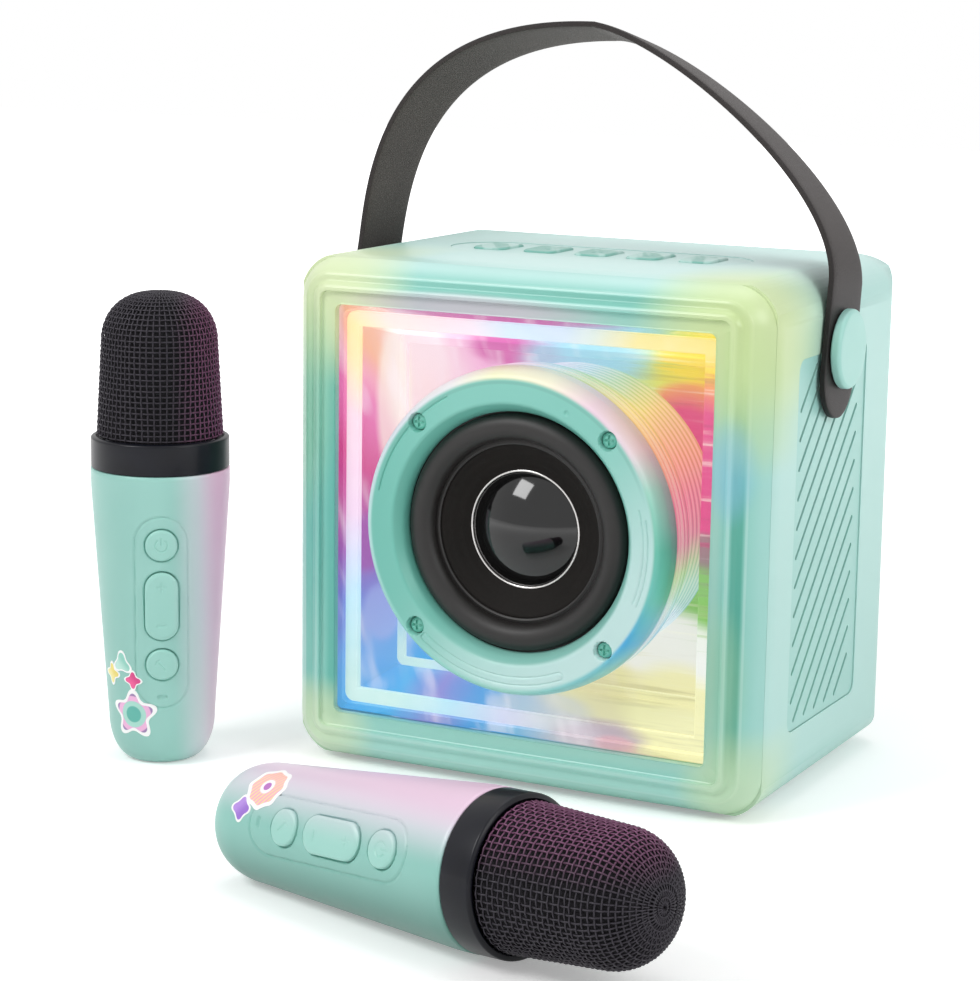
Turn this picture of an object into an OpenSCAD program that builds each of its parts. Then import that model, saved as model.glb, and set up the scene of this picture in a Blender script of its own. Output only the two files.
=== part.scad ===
// Karaoke speaker: a cube cabinet with a lit window, a round driver and a leather strap,
// with its two cordless microphones, one standing and one lying in front of it.
// Lengths are millimetres. The front faces -Y, up is +Z, and the origin is the middle of the foot pad.

/* [Cabinet] */
// Width of the cabinet
body_w = 158; // [152:1:180]
// Depth of the cabinet
body_d = 118; // [114:1:140]
// Height of the cabinet from the table to its top
body_h = 160; // [154:1:180]
// Radius of the rounded edges
edge_r = 14; // [11:1:15]
// Wall of the cabinet
wall = 3; // [2.5:0.25:3.5]
// Depth of the front bezel
bezel_d = 9; // [8:0.5:11]
// Depth of the rear cover
rear_d = 14; // [12:1:18]
// Foot pad size across
pad_w = 124; // [100:1:126]
// Foot pad size front to back
pad_d = 84; // [60:1:84]
// Foot pad thickness
pad_t = 2.5; // [2:0.25:3]
// How far the foot pad stands below the cabinet
pad_proud = 1; // [0.75:0.25:1.5]

/* [Window and light chamber] */
// Width of the window opening
window_w = 125; // [122:1:128]
// Height of the window opening
window_h = 128; // [124:1:131]
// Corner radius of the window opening
window_r = 2; // [1:0.5:4]
// Width of the sunk band round the window
band_w = 4.6; // [3:0.2:5]
// How far the band is sunk below the bezel's front
band_sunk = 1.7; // [1:0.1:2]
// Thickness of the bezel's lip behind the band
lip_t = 2.3; // [2:0.1:3]
// Thickness of the clear window panel
panel_t = 2; // [1.5:0.25:2.5]
// Overlap of the panel behind the lip
panel_lap = 3.5; // [2.5:0.5:4]
// Depth of the light chamber
chamber_d = 41; // [38:1:44]
// Thickness of the chamber's walls
chamber_t = 2; // [1.5:0.25:2.5]
// Width of the light frame's strip
light_w = 5; // [4:0.5:6]
// Distance from the window panel to the light frame
light_back = 1; // [0.5:0.5:3]
// Thickness of the mirror plate that closes the chamber
mirror_t = 2; // [1.5:0.5:3]

/* [Speaker] */
// Distance from the window's side edge to the speaker can and its ring
can_gap = 12.5; // [10.5:0.1:14]
// Least distance from the window's top edge to the speaker can
can_gap_top = 14; // [12:0.1:16]
// Width of the ring's rounded side
ring_round_w = 2.6; // [2:0.1:3.2]
// Width of the ring's face from its rounded side to its opening
ring_face_w = 10.9; // [10.6:0.1:11.6]
// How far the ring stands in front of the bezel
ring_proud = 3; // [2:0.5:4]
// Depth of the ring's rounded side
ring_d = 10; // [9:0.5:11]
// Width of the slope round the opening
mouth_slope = 3.2; // [2:0.2:4]
// Distance of the ring's screws from the face's outer edge
ring_screw_in = 3.05; // [2.9:0.05:3.3]
// Radius of a ring screw's head
ring_screw_head_r = 2.6; // [2.4:0.1:2.8]
// Width of the roll between the ring's opening and the cone
roll_w = 8.5; // [7.5:0.1:10]
// Radius of the dust cap
dust_cap_r = 17.5; // [15:0.5:19]
// Height of the dust cap's dome
dust_cap_h = 6.5; // [5:0.5:7]
// Outer radius of the voice coil
coil_r = 9.5; // [9:0.1:10]
// Radius of the magnet
magnet_r = 22; // [20:0.5:24]

/* [Strap] */
// Width of the strap
strap_w = 26; // [22:0.5:28]
// Thickness of the strap
strap_t = 2.2; // [1.8:0.1:2.6]
// Distance of the stud's axis below the cabinet's top
stud_drop = 23.4; // [21:0.2:26]
// Distance of the stud's axis behind the mirror plate
stud_behind = 6; // [5:0.5:10]
// Radius of the stud's neck
stud_neck_r = 6; // [5:0.5:7]
// Radius of the stud's cap
stud_cap_r = 12; // [10.5:0.5:12.5]
// Thickness of the stud's cap
stud_cap_t = 3.1; // [2.5:0.1:4]
// Height of the strap's arch above the cabinet's top
arch_rise = 67.5; // [62:0.5:75]
// Lean of the right tab to the rear, in degrees
lean_right = 9; // [6:0.5:12]
// Lean of the left tab to the rear, in degrees
lean_left = 17; // [13:0.5:20]

/* [Side grilles] */
// Front to back size of a grille panel
grille_d = 58; // [52:1:60]
// Height of a grille panel
grille_h = 112; // [100:1:112]
// Distance between slots along the panel's edge
slot_pitch = 8.8; // [7:0.1:11]
// Width of a slot
slot_w = 1.4; // [1:0.1:2]

/* [Top keys] */
// Length of the key strip
strip_l = 100; // [98:1:110]
// Width of the key strip
strip_w = 30; // [26:1:32]
// Number of keys
key_count = 5; // [5]
// Distance between keys
key_pitch = 17.5; // [16:0.1:18]
// Length of a key along the strip
key_l = 11; // [9:0.5:12]
// Width of a key across the strip
key_w = 17; // [14:0.5:19]
// How far a key stands above the strip
key_proud = 0.9; // [0.8:0.1:1.2]

/* [Microphones] */
// Radius of the microphone body at its collar
mic_r = 21.5; // [20:0.5:23]
// Radius where the rounded tail ends
mic_tail_r = 16.6; // [15:0.2:17]
// Radius of the flat end of the tail
mic_end_r = 9; // [8.5:0.25:10]
// Length of the rounded tail
mic_tail_l = 14; // [12:0.5:15]
// Length of the body up to the collar
mic_body_l = 93; // [90:1:100]
// Length of the collar
collar_l = 9.5; // [8:0.5:12]
// Length of the whole microphone
mic_l = 147.5; // [145:0.5:155]
// Radius of the grille above the collar
grille_r = 19.8; // [18:0.2:19.8]
// Radius where the grille's dome starts
grille_dome_r = 18.2; // [16.5:0.2:18.2]
// Height of the grille's dome
grille_dome_h = 15; // [12:0.5:17]
// Wall of the microphone body
mic_wall = 2; // [1.6:0.1:2.2]
// Length of the key panel
mic_panel_l = 61; // [60:0.5:63]
// Width of the key panel
mic_panel_w = 16.4; // [15.5:0.2:18]
// Radius of the round keys
mic_key_r = 4.9; // [4:0.1:5.2]
// Length of the volume rocker
rocker_l = 21.5; // [19:0.5:22]
// Width of the volume rocker
rocker_w = 10.2; // [8:0.2:10.6]

/* [Placing of the microphones] */
// Standing microphone, distance to the left of the cabinet's middle
stand_left = 115.7; // [112:0.1:140]
// Standing microphone, distance in front of the cabinet's middle
stand_forward = 73.5; // [60:0.5:110]
// Standing microphone, turn of its keys to the right, in degrees
stand_turn = 34; // [0:1:60]
// Lying microphone, tail's distance to the left of the cabinet's middle
lie_left = 32.3; // [20:0.1:60]
// Lying microphone, tail's distance in front of the cabinet's middle
lie_forward = 158; // [130:1:180]
// Lying microphone, turn of its head to the front, in degrees
lie_turn = 14.8; // [0:0.2:25]
// Lying microphone, roll of its keys upwards, in degrees
lie_roll = 19; // [0:1:40]

/* [Hidden] */
$fn = 64;
// Gap between pieces that are fitted into each other
fit_gap = 0.2;
// Gap round keys that travel
key_gap = 0.3;
// Running clearance of the strap on its studs
run_gap = 0.05;
// Overshoot of cuts
over = 1;

front_y = -body_d / 2;
rear_y = body_d / 2;
side_x = body_w / 2;
shell_bottom = pad_proud;
shell_h = body_h - pad_proud;
shell_mid_z = pad_proud + shell_h / 2;
inner_w = body_w - 2 * wall;
inner_h = shell_h - 2 * wall;
inner_r = edge_r - wall;
split_y = front_y + bezel_d;
rear_split_y = rear_y - rear_d;

window_z = shell_mid_z + 1;
band_y = front_y + band_sunk;
lip_y = band_y + lip_t;
panel_back_y = lip_y + panel_t;
chamber_w = window_w - 1;
chamber_h = window_h - 4;
chamber_flange_t = 1.5;
mirror_y = panel_back_y + chamber_d;
mirror_back_y = mirror_y + mirror_t;
light_y = panel_back_y + light_back;
light_t = 2;
led_d = 7;
led_t = 1.2;
led_chip = 3;
led_chips_a_side = 10;
ledge_t = 3;
ledge_w = 4;

speaker_drop = 0.5;
speaker_z = window_z - speaker_drop;
can_r = min(window_w / 2 - can_gap, window_h / 2 - can_gap_top);
ring_face_r = can_r - ring_round_w;
ring_screw_r = ring_face_r - ring_screw_in;
mouth_r = ring_face_r - ring_face_w;
cone_r = mouth_r - roll_w;
ring_y = front_y - ring_proud;
ring_back_y = ring_y + ring_d;
land_sunk = 6.5;
land_y = ring_y + land_sunk;
land_t = 0.6;
flange_t = 1;
baffle_y = land_y + land_t + flange_t;
baffle_t = 4.3;
flange_w = 6.2;
flange_r = mouth_r + flange_w;
flange_hold = 4;
ring_wall = 2.5;
ring_inner_r = can_r - ring_wall;
can_t = 3;
can_front_d = 12;
can_step = 4;
can_rear_r = can_r - can_step;
can_post_r = 3.2;
can_post_l = 7;
shoulder_t = 2;
basket_t = 1.2;
basket_d = 14;
basket_rear_r = 24;
basket_y = baffle_y + basket_d;
basket_rim = 1.5;
basket_hole_l = 40;
basket_hole_w = 16;
basket_hole_h = 7;
basket_hole_in = 6;
coil_room = 2;
top_plate_t = 3.8;
magnet_t = 8;
back_plate_t = 3;
magnet_edge = 2;
steel_r = magnet_r - magnet_edge;
coil_l = 12;
coil_t = 0.5;
pole_gap = 0.6;
pole_r = coil_r - coil_t - pole_gap;
cone_t = 0.7;
cone_d = 8.8;
cone_neck_y = land_y + cone_d;
roll_play = 0.3;
roll_out_r = mouth_r - roll_play;
roll_mid_r = (roll_out_r + cone_r) / 2;
roll_r = (roll_out_r - cone_r) / 2;
roll_edge = 1.5;
roll_land = 3;
cap_t = 0.7;
cap_sphere_r = (dust_cap_r * dust_cap_r + dust_cap_h * dust_cap_h) / (2 * dust_cap_h);
cone_edge = 2.5;
cone_slope = (cone_neck_y - land_y - land_t) / (cone_r - cone_edge - coil_r);
cap_y = land_y + land_t + (cone_r - cone_edge - dust_cap_r) * cone_slope - 0.02;
spider_in = 4;
spider_y = basket_y - spider_in;
spider_t = 0.5;
ring_screw_l = 12;
ring_screw_shank_r = 1.4;
ring_screw_sunk = 3;
ring_screw_out = -1;
screw_slot = 0.7;
screw_gap = 0.05;

stud_z = body_h - stud_drop;
stud_y = mirror_back_y + stud_behind;
strap_gap = 0.4;
strap_x = side_x + strap_gap + strap_t / 2;
tab_r = strap_w / 2;
tab_below = 8;
tab_above = 20;
arch_z = body_h + arch_rise;
arch_x = -9.5;
arch_y = 19;
arch_slope = 0.15;
arch_roll = 11;
right_pull = 29.5;
right_crown_pull = 19.5;
left_pull = 18.5;
left_crown_pull = 70.5;
arch_steps = 34;
tab_sink = 1;
arch_slack = 0.05;
stud_base_r = 9;
stud_base_t = 1.2;
stud_screw_r = 1.5;

grille_flange = 2.2;
grille_t = 1.5;
grille_sunk = 0.4;
grille_y = -4;
grille_drop = 0.5;
grille_z = shell_mid_z - grille_drop;
grille_corner_r = 4;
slot_margin_front = 2;
slot_margin_rear = 6.5;
slot_margin_end = 1.5;

strip_y = -2;
strip_t = 2.8;
strip_flange = 3;
strip_flange_t = 1.5;
key_flange = 0.8;
key_flange_t = 0.9;
key_travel = 0.6;
dome_h = 1.6;
key_board_t = 1.6;
key_board_drop = 5.4;
key_post_r = 2.5;
key_post_end = 2;
key_post_in = 6;
key_room = 12;
key_bay_w = strip_l + key_room;
key_bay_h = key_board_drop + 3;
key_board_over = 4;
key_dome_r = 3;

rear_in_y = rear_y - wall;
post_r = 6.5;
post_web = 8;
post_in = 16;
post_l = 22;
rear_screw_r = 2;
rear_screw_head_r = 3.6;
rear_screw_head_t = 2.4;
rear_screw_l = 16;
socket_w = 44;
socket_h = 16;
socket_z = 42;
socket_corner_r = 3;
socket_apart = 22;
charge_w = 9.2;
charge_h = 3.4;
charge_d = 8;
sound_r = 1.8;
sound_d = 11;
board_w = 92;
board_h = 70;
board_t = 1.6;
board_back = 16;
board_y = rear_in_y - board_back;
board_z = 78;
board_hole_in = 8;
chips_apart = 27;
chip_w = 14;
chip_h = 16;
chip_t = 3;
socket_face_y = rear_y - 1;
standoff_r = 3;
battery_r = 9.2;
battery_l = 70;
battery_cells_apart = 19;
battery_y = 14;

collar_top = mic_body_l + collar_l;
dome_base = mic_l - grille_dome_h;
grille_wall = 1;
tail_plug_l = 5;
mic_panel_z = 50.05;
power_z = 71.7;
rocker_z = 52.4;
effect_z = 33.6;
led_slot_z = 23;
led_slot_l = 3;
led_slot_w = 1.2;
mic_panel_t = 2;
mic_key_proud = 0.7;
mic_key_flange = 0.8;
mic_collar_t = 0.8;
rocker_play = 0.9;
mic_key_travel = 0.5;
rocker_tilt = 2.5;
mic_board_y = 10.6;
mic_board_t = 1.2;
mic_board_w = 17;
mic_board_l = 60;
mic_rail_w = 4;
mic_rail_t = 1.6;
mic_battery_r = 8.5;
mic_battery_l = 50;
collar_wall = 4;
spigot_l = 5;
capsule_r = 8;
capsule_l = 11;
capsule_disc_t = 2;
mic_tail_steps = 6;
grille_dome_steps = 8;
mic_taper = atan((mic_r - mic_tail_r) / (mic_body_l - 5 - mic_tail_l));
lie_axis_z = mic_tail_r * cos(mic_taper) - mic_tail_l * sin(mic_taper);

mint = [0.60, 0.86, 0.82];
pale_mint = [0.74, 0.92, 0.88];
leather_brown = [0.20, 0.17, 0.16];
grille_black = [0.10, 0.10, 0.13];
collar_blue = [0.12, 0.15, 0.26];
board_green = [0.10, 0.32, 0.20];
steel = [0.62, 0.63, 0.65];

// Shared shapes

// Rectangle with round corners, centred
module rounded_rect(w, h, r) {
    square([w - 2 * r, h], center = true);
    square([w, h - 2 * r], center = true);
    for (sx = [-1, 1], sy = [-1, 1])
        translate([sx * (w / 2 - r), sy * (h / 2 - r)]) circle(r);
}

// Slot shape with round ends along the first direction, centred
module stadium(l, w) {
    square([l - w, w], center = true);
    for (s = [-1, 1]) translate([s * (l - w) / 2, 0]) circle(w / 2);
}

// Extrudes an outline drawn in X and Z from y0 to y1
module along_y(y0, y1) {
    translate([0, y1, 0]) rotate([90, 0, 0]) linear_extrude(y1 - y0) children();
}

// Extrudes an outline drawn in Y and Z from x0 to x1
module along_x(x0, x1) {
    translate([x0, 0, 0]) rotate([90, 0, 90]) linear_extrude(x1 - x0) children();
}

// Turns a profile of [radius, y] points round the driver's axis
module turned_y(points) {
    translate([0, 0, speaker_z]) rotate([-90, 0, 0]) rotate_extrude() polygon(points);
}

// Block with all its edges rounded: the outer form of the cabinet, drawn in by a wall
module cabinet_block(draw_in = 0) {
    w = body_w - 2 * draw_in;
    d = body_d - 2 * draw_in;
    h = shell_h - 2 * draw_in;
    r = edge_r - draw_in;
    intersection() {
        along_y(-d / 2, d / 2) translate([0, shell_mid_z]) rounded_rect(w, h, r);
        along_x(-w / 2, w / 2) translate([0, shell_mid_z]) rounded_rect(d, h, r);
        translate([0, 0, shell_mid_z - h / 2]) linear_extrude(h) rounded_rect(w, d, r);
    }
}

// The same block with its corners rounded too
module round_block() {
    core_w = body_w - 2 * edge_r;
    core_d = body_d - 2 * edge_r;
    core_h = shell_h - 2 * edge_r;
    translate([0, 0, shell_mid_z]) {
        cube([body_w, core_d, core_h], center = true);
        cube([core_w, body_d, core_h], center = true);
        cube([core_w, core_d, shell_h], center = true);
        for (sa = [-1, 1], sb = [-1, 1]) {
            translate([0, sa * core_d / 2, sb * core_h / 2])
                rotate([0, 90, 0]) cylinder(r = edge_r, h = core_w, center = true);
            translate([sa * core_w / 2, 0, sb * core_h / 2])
                rotate([90, 0, 0]) cylinder(r = edge_r, h = core_d, center = true);
            translate([sa * core_w / 2, sb * core_d / 2, 0])
                cylinder(r = edge_r, h = core_h, center = true);
            for (sc = [-1, 1])
                translate([sa * core_w / 2, sb * core_d / 2, sc * core_h / 2]) sphere(edge_r);
        }
    }
}

// Everything between two planes across the depth
module depth_slab(y0, y1) {
    translate([-body_w, y0, -over]) cube([2 * body_w, y1 - y0, body_h + 2 * over]);
}

// Window outline grown by a margin, in X and Z
module window_outline(margin, r) {
    translate([0, window_z]) rounded_rect(window_w + 2 * margin, window_h + 2 * margin, r);
}

// Light chamber outline grown by a margin, in X and Z
module chamber_outline(margin) {
    translate([0, window_z]) rounded_rect(chamber_w + 2 * margin, chamber_h + 2 * margin, window_r);
}

// Cabinet

module main_shell() color(mint) {
    difference() {
        intersection() {
            cabinet_block();
            depth_slab(split_y, rear_split_y);
        }
        along_y(split_y - over, rear_split_y + over)
            translate([0, shell_mid_z]) rounded_rect(inner_w, inner_h, inner_r);
        translate([0, strip_y, body_h - wall - over])
            linear_extrude(wall + 2 * over) stadium(strip_l + 2 * fit_gap, strip_w + 2 * fit_gap);
        for (s = [-1, 1]) {
            along_x(s * side_x - wall - over, s * side_x + wall + over)
                translate([grille_y, grille_z])
                rounded_rect(grille_d + 2 * fit_gap, grille_h + 2 * fit_gap, grille_corner_r);
            stud_axis(s) cylinder(r = stud_neck_r + fit_gap, h = 4 * wall, center = true);
        }
        translate([0, 0, shell_bottom - over])
            linear_extrude(pad_t - pad_proud + over)
            rounded_rect(pad_w + 2 * fit_gap, pad_d + 2 * fit_gap, 10);
    }
    stud_bridges();
    mirror_ledge();
    rear_posts();
}

// Moves children to a strap stud: its axis runs out of the cabinet's side wall
module stud_axis(side) {
    translate([side * (side_x - wall / 2), stud_y, stud_z]) rotate([0, side * 90, 0]) children();
}

// Strong round seats for the studs, where the grille opening comes near the stud
module stud_bridges() {
    for (s = [-1, 1])
        difference() {
            stud_axis(s) cylinder(r = stud_base_r + 1.5, h = wall, center = true);
            stud_axis(s) cylinder(r = stud_neck_r + fit_gap, h = 4 * wall, center = true);
        }
}

// Ribs on the cabinet's floor and top that the mirror plate rests on
module mirror_ledge() {
    rib_x = inner_w / 2 - inner_r;
    for (s = [-1, 1])
        translate([0, mirror_back_y, shell_mid_z + s * (inner_h / 2 - (ledge_w - 0.5) / 2)])
        for (sx = [-1, 1]) {
            x0 = s > 0 ? key_bay_w / 2 : 0;
            translate([sx * (x0 + rib_x) / 2, ledge_t / 2, s * 0.25])
                cube([rib_x - x0, ledge_t, ledge_w], center = true);
        }
}

// Place of a rear screw: sx and sz choose the corner
function post_x(sx) = sx * (inner_w / 2 - post_in);
function post_z(sz) = shell_mid_z + sz * (inner_h / 2 - post_in);

// Posts that take the rear screws, each on a web from the side wall
module rear_posts() {
    difference() {
        for (sx = [-1, 1], sz = [-1, 1])
            along_y(rear_split_y - post_l, rear_split_y) translate([post_x(sx), post_z(sz)]) {
                circle(post_r);
                translate([sx * (post_in + 0.5) / 2, 0]) square([post_in + 0.5, post_web], center = true);
            }
        rear_screw_places()
            translate([0, 0, -rear_d - post_l + 4]) cylinder(r = rear_screw_r + screw_gap, h = post_l);
    }
}

module front_bezel() color(mint) {
    difference() {
        intersection() {
            round_block();
            depth_slab(front_y, split_y);
        }
        along_y(front_y - over, split_y + over) window_outline(0, window_r);
        along_y(front_y - over, band_y) window_outline(band_w, window_r + 1);
        along_y(lip_y, split_y + over) window_outline(panel_lap + fit_gap, window_r + 1);
    }
}

module window_panel() color([0.9, 0.95, 1, 0.35]) {
    difference() {
        union() {
            along_y(lip_y, panel_back_y) window_outline(panel_lap, window_r);
            along_y(band_y + 0.3, lip_y) window_outline(-fit_gap, window_r);
        }
        turned_y([[0, front_y - over], [can_r + fit_gap, front_y - over],
            [can_r + fit_gap, panel_back_y + over], [0, panel_back_y + over]]);
    }
}

// Room round the key board, kept free of the chamber and of the mirror plate
module key_bay() {
    translate([0, strip_y, body_h - wall])
        cube([key_bay_w, strip_w + key_room, 2 * key_bay_h], center = true);
}

module chamber_walls() color([0.93, 0.94, 0.96]) {
    difference() {
        union() {
            along_y(panel_back_y, panel_back_y + chamber_flange_t) window_outline(panel_lap, window_r);
            along_y(panel_back_y, mirror_y) chamber_outline(chamber_t);
        }
        along_y(panel_back_y - over, mirror_y + over) chamber_outline(0);
        key_bay();
    }
}

module mirror_plate() color([0.85, 0.88, 0.92]) {
    difference() {
        along_y(mirror_y, mirror_back_y)
            translate([0, shell_mid_z])
            rounded_rect(inner_w - 2 * grille_t - 2 * fit_gap, inner_h - 2 * fit_gap, inner_r - grille_t);
        turned_y([[0, mirror_y - over], [can_rear_r - 2, mirror_y - over],
            [can_rear_r - 2, mirror_back_y + over], [0, mirror_back_y + over]]);
        key_bay();
    }
}

module light_frame() color([1, 0.98, 0.92]) {
    difference() {
        along_y(light_y, light_y + light_t) chamber_outline(-fit_gap);
        along_y(light_y - over, light_y + light_t + over)
            translate([0, window_z])
            square([chamber_w - 2 * light_w, chamber_h - 2 * light_w], center = true);
    }
}

// Four flexible light strips on the chamber's walls, each with a row of chips
module led_strips() color([0.95, 0.95, 0.9]) {
    led_y = light_y + light_t;
    for (side = [0, 1], s = [-1, 1]) {
        half = (side == 0 ? chamber_w : chamber_h) / 2;
        run = (side == 0 ? chamber_h : chamber_w) - 4 * led_t - 4;
        translate([0, led_y, window_z]) rotate([0, side * 90, 0]) {
            translate([s * (half - led_t / 2), led_d / 2, 0]) cube([led_t, led_d, run], center = true);
            for (i = [0 : led_chips_a_side - 1])
                translate([s * (half - led_t - 0.4), led_d / 2, (i + 0.5) * run / led_chips_a_side - run / 2])
                cube([0.9, led_chip, led_chip], center = true);
        }
    }
}

// Driver

// Outer rounded side of the ring, from its flat face back to the can
function ring_side(steps) = [for (i = [0 : steps])
    [ring_face_r + (can_r - ring_face_r) * sin(90 * i / steps), ring_back_y - ring_d * cos(90 * i / steps)]];

module speaker_ring() color(mint) {
    difference() {
        turned_y(concat(
            [[mouth_r, land_y - 1], [mouth_r + mouth_slope, ring_y]],
            ring_side(8),
            [[ring_inner_r, ring_back_y], [ring_inner_r, baffle_y], [flange_r + 0.3, baffle_y],
            [flange_r + 0.3, land_y], [mouth_r, land_y]]));
        ring_screw_places() {
            cylinder(r = ring_screw_shank_r + screw_gap, h = 3 * ring_screw_l, center = true);
            translate([0, 0, ring_d - ring_screw_sunk]) cylinder(r = ring_screw_head_r + 0.15, h = ring_d);
        }
    }
}

// Moves children to the four ring screws: +Z of the child points out of the front
module ring_screw_places() {
    for (i = [0 : 3])
        translate([ring_screw_r * cos(45 + 90 * i), ring_back_y, speaker_z + ring_screw_r * sin(45 + 90 * i)])
        rotate([90, 0, 0]) children();
}

module ring_screws() color(mint) {
    ring_screw_places() difference() {
        union() {
            translate([0, 0, ring_d - ring_screw_sunk])
                cylinder(r = ring_screw_head_r, h = ring_screw_sunk + ring_screw_out);
            translate([0, 0, ring_d - ring_screw_sunk - ring_screw_l])
                cylinder(r = ring_screw_shank_r, h = ring_screw_l + 1);
        }
        for (a = [0, 90])
            rotate([0, 0, a]) translate([0, 0, ring_d + ring_screw_out])
            cube([2.6 * ring_screw_shank_r, screw_slot, 2], center = true);
    }
}

module speaker_can() color(pale_mint) {
    shoulder_y = ring_back_y + can_front_d;
    difference() {
        union() {
            turned_y([[flange_r - flange_hold, baffle_y], [ring_inner_r - fit_gap, baffle_y],
                [ring_inner_r - fit_gap, ring_back_y], [can_r, ring_back_y],
                [can_r, shoulder_y], [can_rear_r, shoulder_y], [can_rear_r, mirror_y],
                [can_rear_r - shoulder_t, mirror_y], [can_rear_r - shoulder_t, shoulder_y - shoulder_t],
                [can_r - can_t, shoulder_y - shoulder_t], [can_r - can_t, baffle_y + baffle_t],
                [flange_r - flange_hold, baffle_y + baffle_t]]);
            ring_screw_places()
                translate([0, 0, -can_post_l - 1]) cylinder(r = can_post_r, h = can_post_l);
        }
        ring_screw_places()
            cylinder(r = ring_screw_shank_r + screw_gap, h = 2 * can_post_l, center = true);
    }
}

module basket() color([0.16, 0.16, 0.17]) {
    wall_top = baffle_y - flange_t;
    difference() {
        turned_y([[mouth_r - basket_rim, wall_top], [flange_r, wall_top], [flange_r, baffle_y],
            [mouth_r, baffle_y], [basket_rear_r + basket_t, basket_y + basket_t],
            [coil_r + coil_room, basket_y + basket_t], [coil_r + coil_room, basket_y],
            [basket_rear_r, basket_y], [mouth_r - basket_rim, baffle_y]]);
        for (i = [0 : 3])
            translate([0, basket_y - basket_hole_in, speaker_z]) rotate([0, 45 + 90 * i, 0])
            translate([basket_rear_r, 0, 0])
            cube([basket_hole_l, basket_hole_h, basket_hole_w], center = true);
    }
}

module surround() color([0.12, 0.11, 0.11]) {
    turned_y(concat(
        [[cone_r - roll_edge, land_y], [cone_r, land_y]],
        [for (a = [15 : 15 : 165]) [roll_mid_r - roll_r * cos(a), land_y - roll_r * sin(a)]],
        [[roll_out_r, land_y], [mouth_r + roll_land, land_y], [mouth_r + roll_land, land_y + land_t],
        [roll_out_r - land_t, land_y + land_t]],
        [for (a = [165 : -15 : 15])
            [roll_mid_r - (roll_r - land_t) * cos(a), land_y + land_t - roll_r * sin(a)]],
        [[cone_r + land_t, land_y + land_t], [cone_r - roll_edge, land_y + land_t]]));
}

module cone() color([0.17, 0.15, 0.14]) {
    turned_y([[cone_r, land_y + land_t], [cone_r, land_y + land_t + cone_t],
        [coil_r, cone_neck_y + cone_t], [coil_r, cone_neck_y],
        [cone_r - cone_edge, land_y + land_t]]);
}

module dust_cap() color([0.07, 0.07, 0.08]) {
    difference() {
        translate([0, cap_y - dust_cap_h + cap_sphere_r, speaker_z]) sphere(cap_sphere_r);
        translate([0, cap_y - dust_cap_h + cap_sphere_r, speaker_z]) sphere(cap_sphere_r - cap_t);
        translate([-can_r, cap_y, speaker_z - can_r]) cube(2 * can_r);
    }
}

module voice_coil() color([0.72, 0.45, 0.2]) {
    turned_y([[coil_r - coil_t, cone_neck_y - 1], [coil_r, cone_neck_y - 1],
        [coil_r, cone_neck_y + coil_l], [coil_r - coil_t, cone_neck_y + coil_l]]);
}

// Corrugated disc that centres the voice coil
module spider() color([0.75, 0.6, 0.3]) {
    inner = coil_r + 0.1;
    outer = basket_rear_r + 1.6;
    steps = 24;
    wave = 0.9;
    turned_y(concat(
        [for (i = [0 : steps])
            [inner + (outer - inner) * i / steps, spider_y + wave * sin(3 * 360 * i / steps)]],
        [for (i = [steps : -1 : 0])
            [inner + (outer - inner) * i / steps, spider_y + spider_t + wave * sin(3 * 360 * i / steps)]]));
}

module magnet() color([0.13, 0.13, 0.14]) {
    y0 = basket_y + basket_t + top_plate_t;
    turned_y([[coil_r + coil_room, y0], [magnet_r, y0], [magnet_r, y0 + magnet_t],
        [coil_r + coil_room, y0 + magnet_t]]);
}

// Steel front plate, and back plate with its pole
module pole_plates() color(steel) {
    y0 = basket_y + basket_t;
    y1 = y0 + top_plate_t + magnet_t;
    turned_y([[coil_r + 0.7, y0], [steel_r, y0], [steel_r, y0 + top_plate_t], [coil_r + 0.7, y0 + top_plate_t]]);
    turned_y([[0, y0], [pole_r, y0], [pole_r, y1], [steel_r, y1], [steel_r, y1 + back_plate_t],
        [0, y1 + back_plate_t]]);
}

// Side grilles

// Lines of the slots: each rises at 45 degrees from front and bottom to rear and top
module grille_slots() {
    y0 = grille_y - grille_d / 2 + slot_margin_front + slot_w;
    y1 = grille_y + grille_d / 2 - slot_margin_rear;
    z0 = grille_z - grille_h / 2 + slot_margin_end + slot_w;
    z1 = grille_z + grille_h / 2 - slot_margin_end - slot_w;
    first = z0 - y1 + slot_w;
    last = z1 - y0 - slot_pitch;
    for (c = [first : slot_pitch : last]) {
        ya = max(y0, z0 - c);
        yb = min(y1, z1 - c);
        if (yb - ya > slot_w)
            translate([(ya + yb) / 2, (ya + yb) / 2 + c]) rotate(45)
            stadium((yb - ya) * sqrt(2) + slot_w, slot_w);
    }
}

// The stud's seat cuts the corner of a grille panel's flange
module grille_panel() {
    in_x = side_x - wall - grille_t;
    out_x = side_x - grille_sunk;
    difference() {
        union() {
            along_x(in_x, side_x - wall)
                translate([grille_y, grille_z])
                rounded_rect(grille_d + 2 * grille_flange, grille_h + 2 * grille_flange,
                    grille_corner_r + grille_flange);
            along_x(in_x, out_x) translate([grille_y, grille_z]) rounded_rect(grille_d, grille_h, grille_corner_r);
        }
        along_x(in_x - over, out_x + over) grille_slots();
        translate([0, stud_y, stud_z]) rotate([0, 90, 0])
            cylinder(r = stud_base_r + 1.5 + fit_gap, h = body_w);
    }
}

module grille_right() {
    color(mint) grille_panel();
}

module grille_left() {
    color(mint) mirror([1, 0, 0]) grille_panel();
}

// Rear

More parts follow.
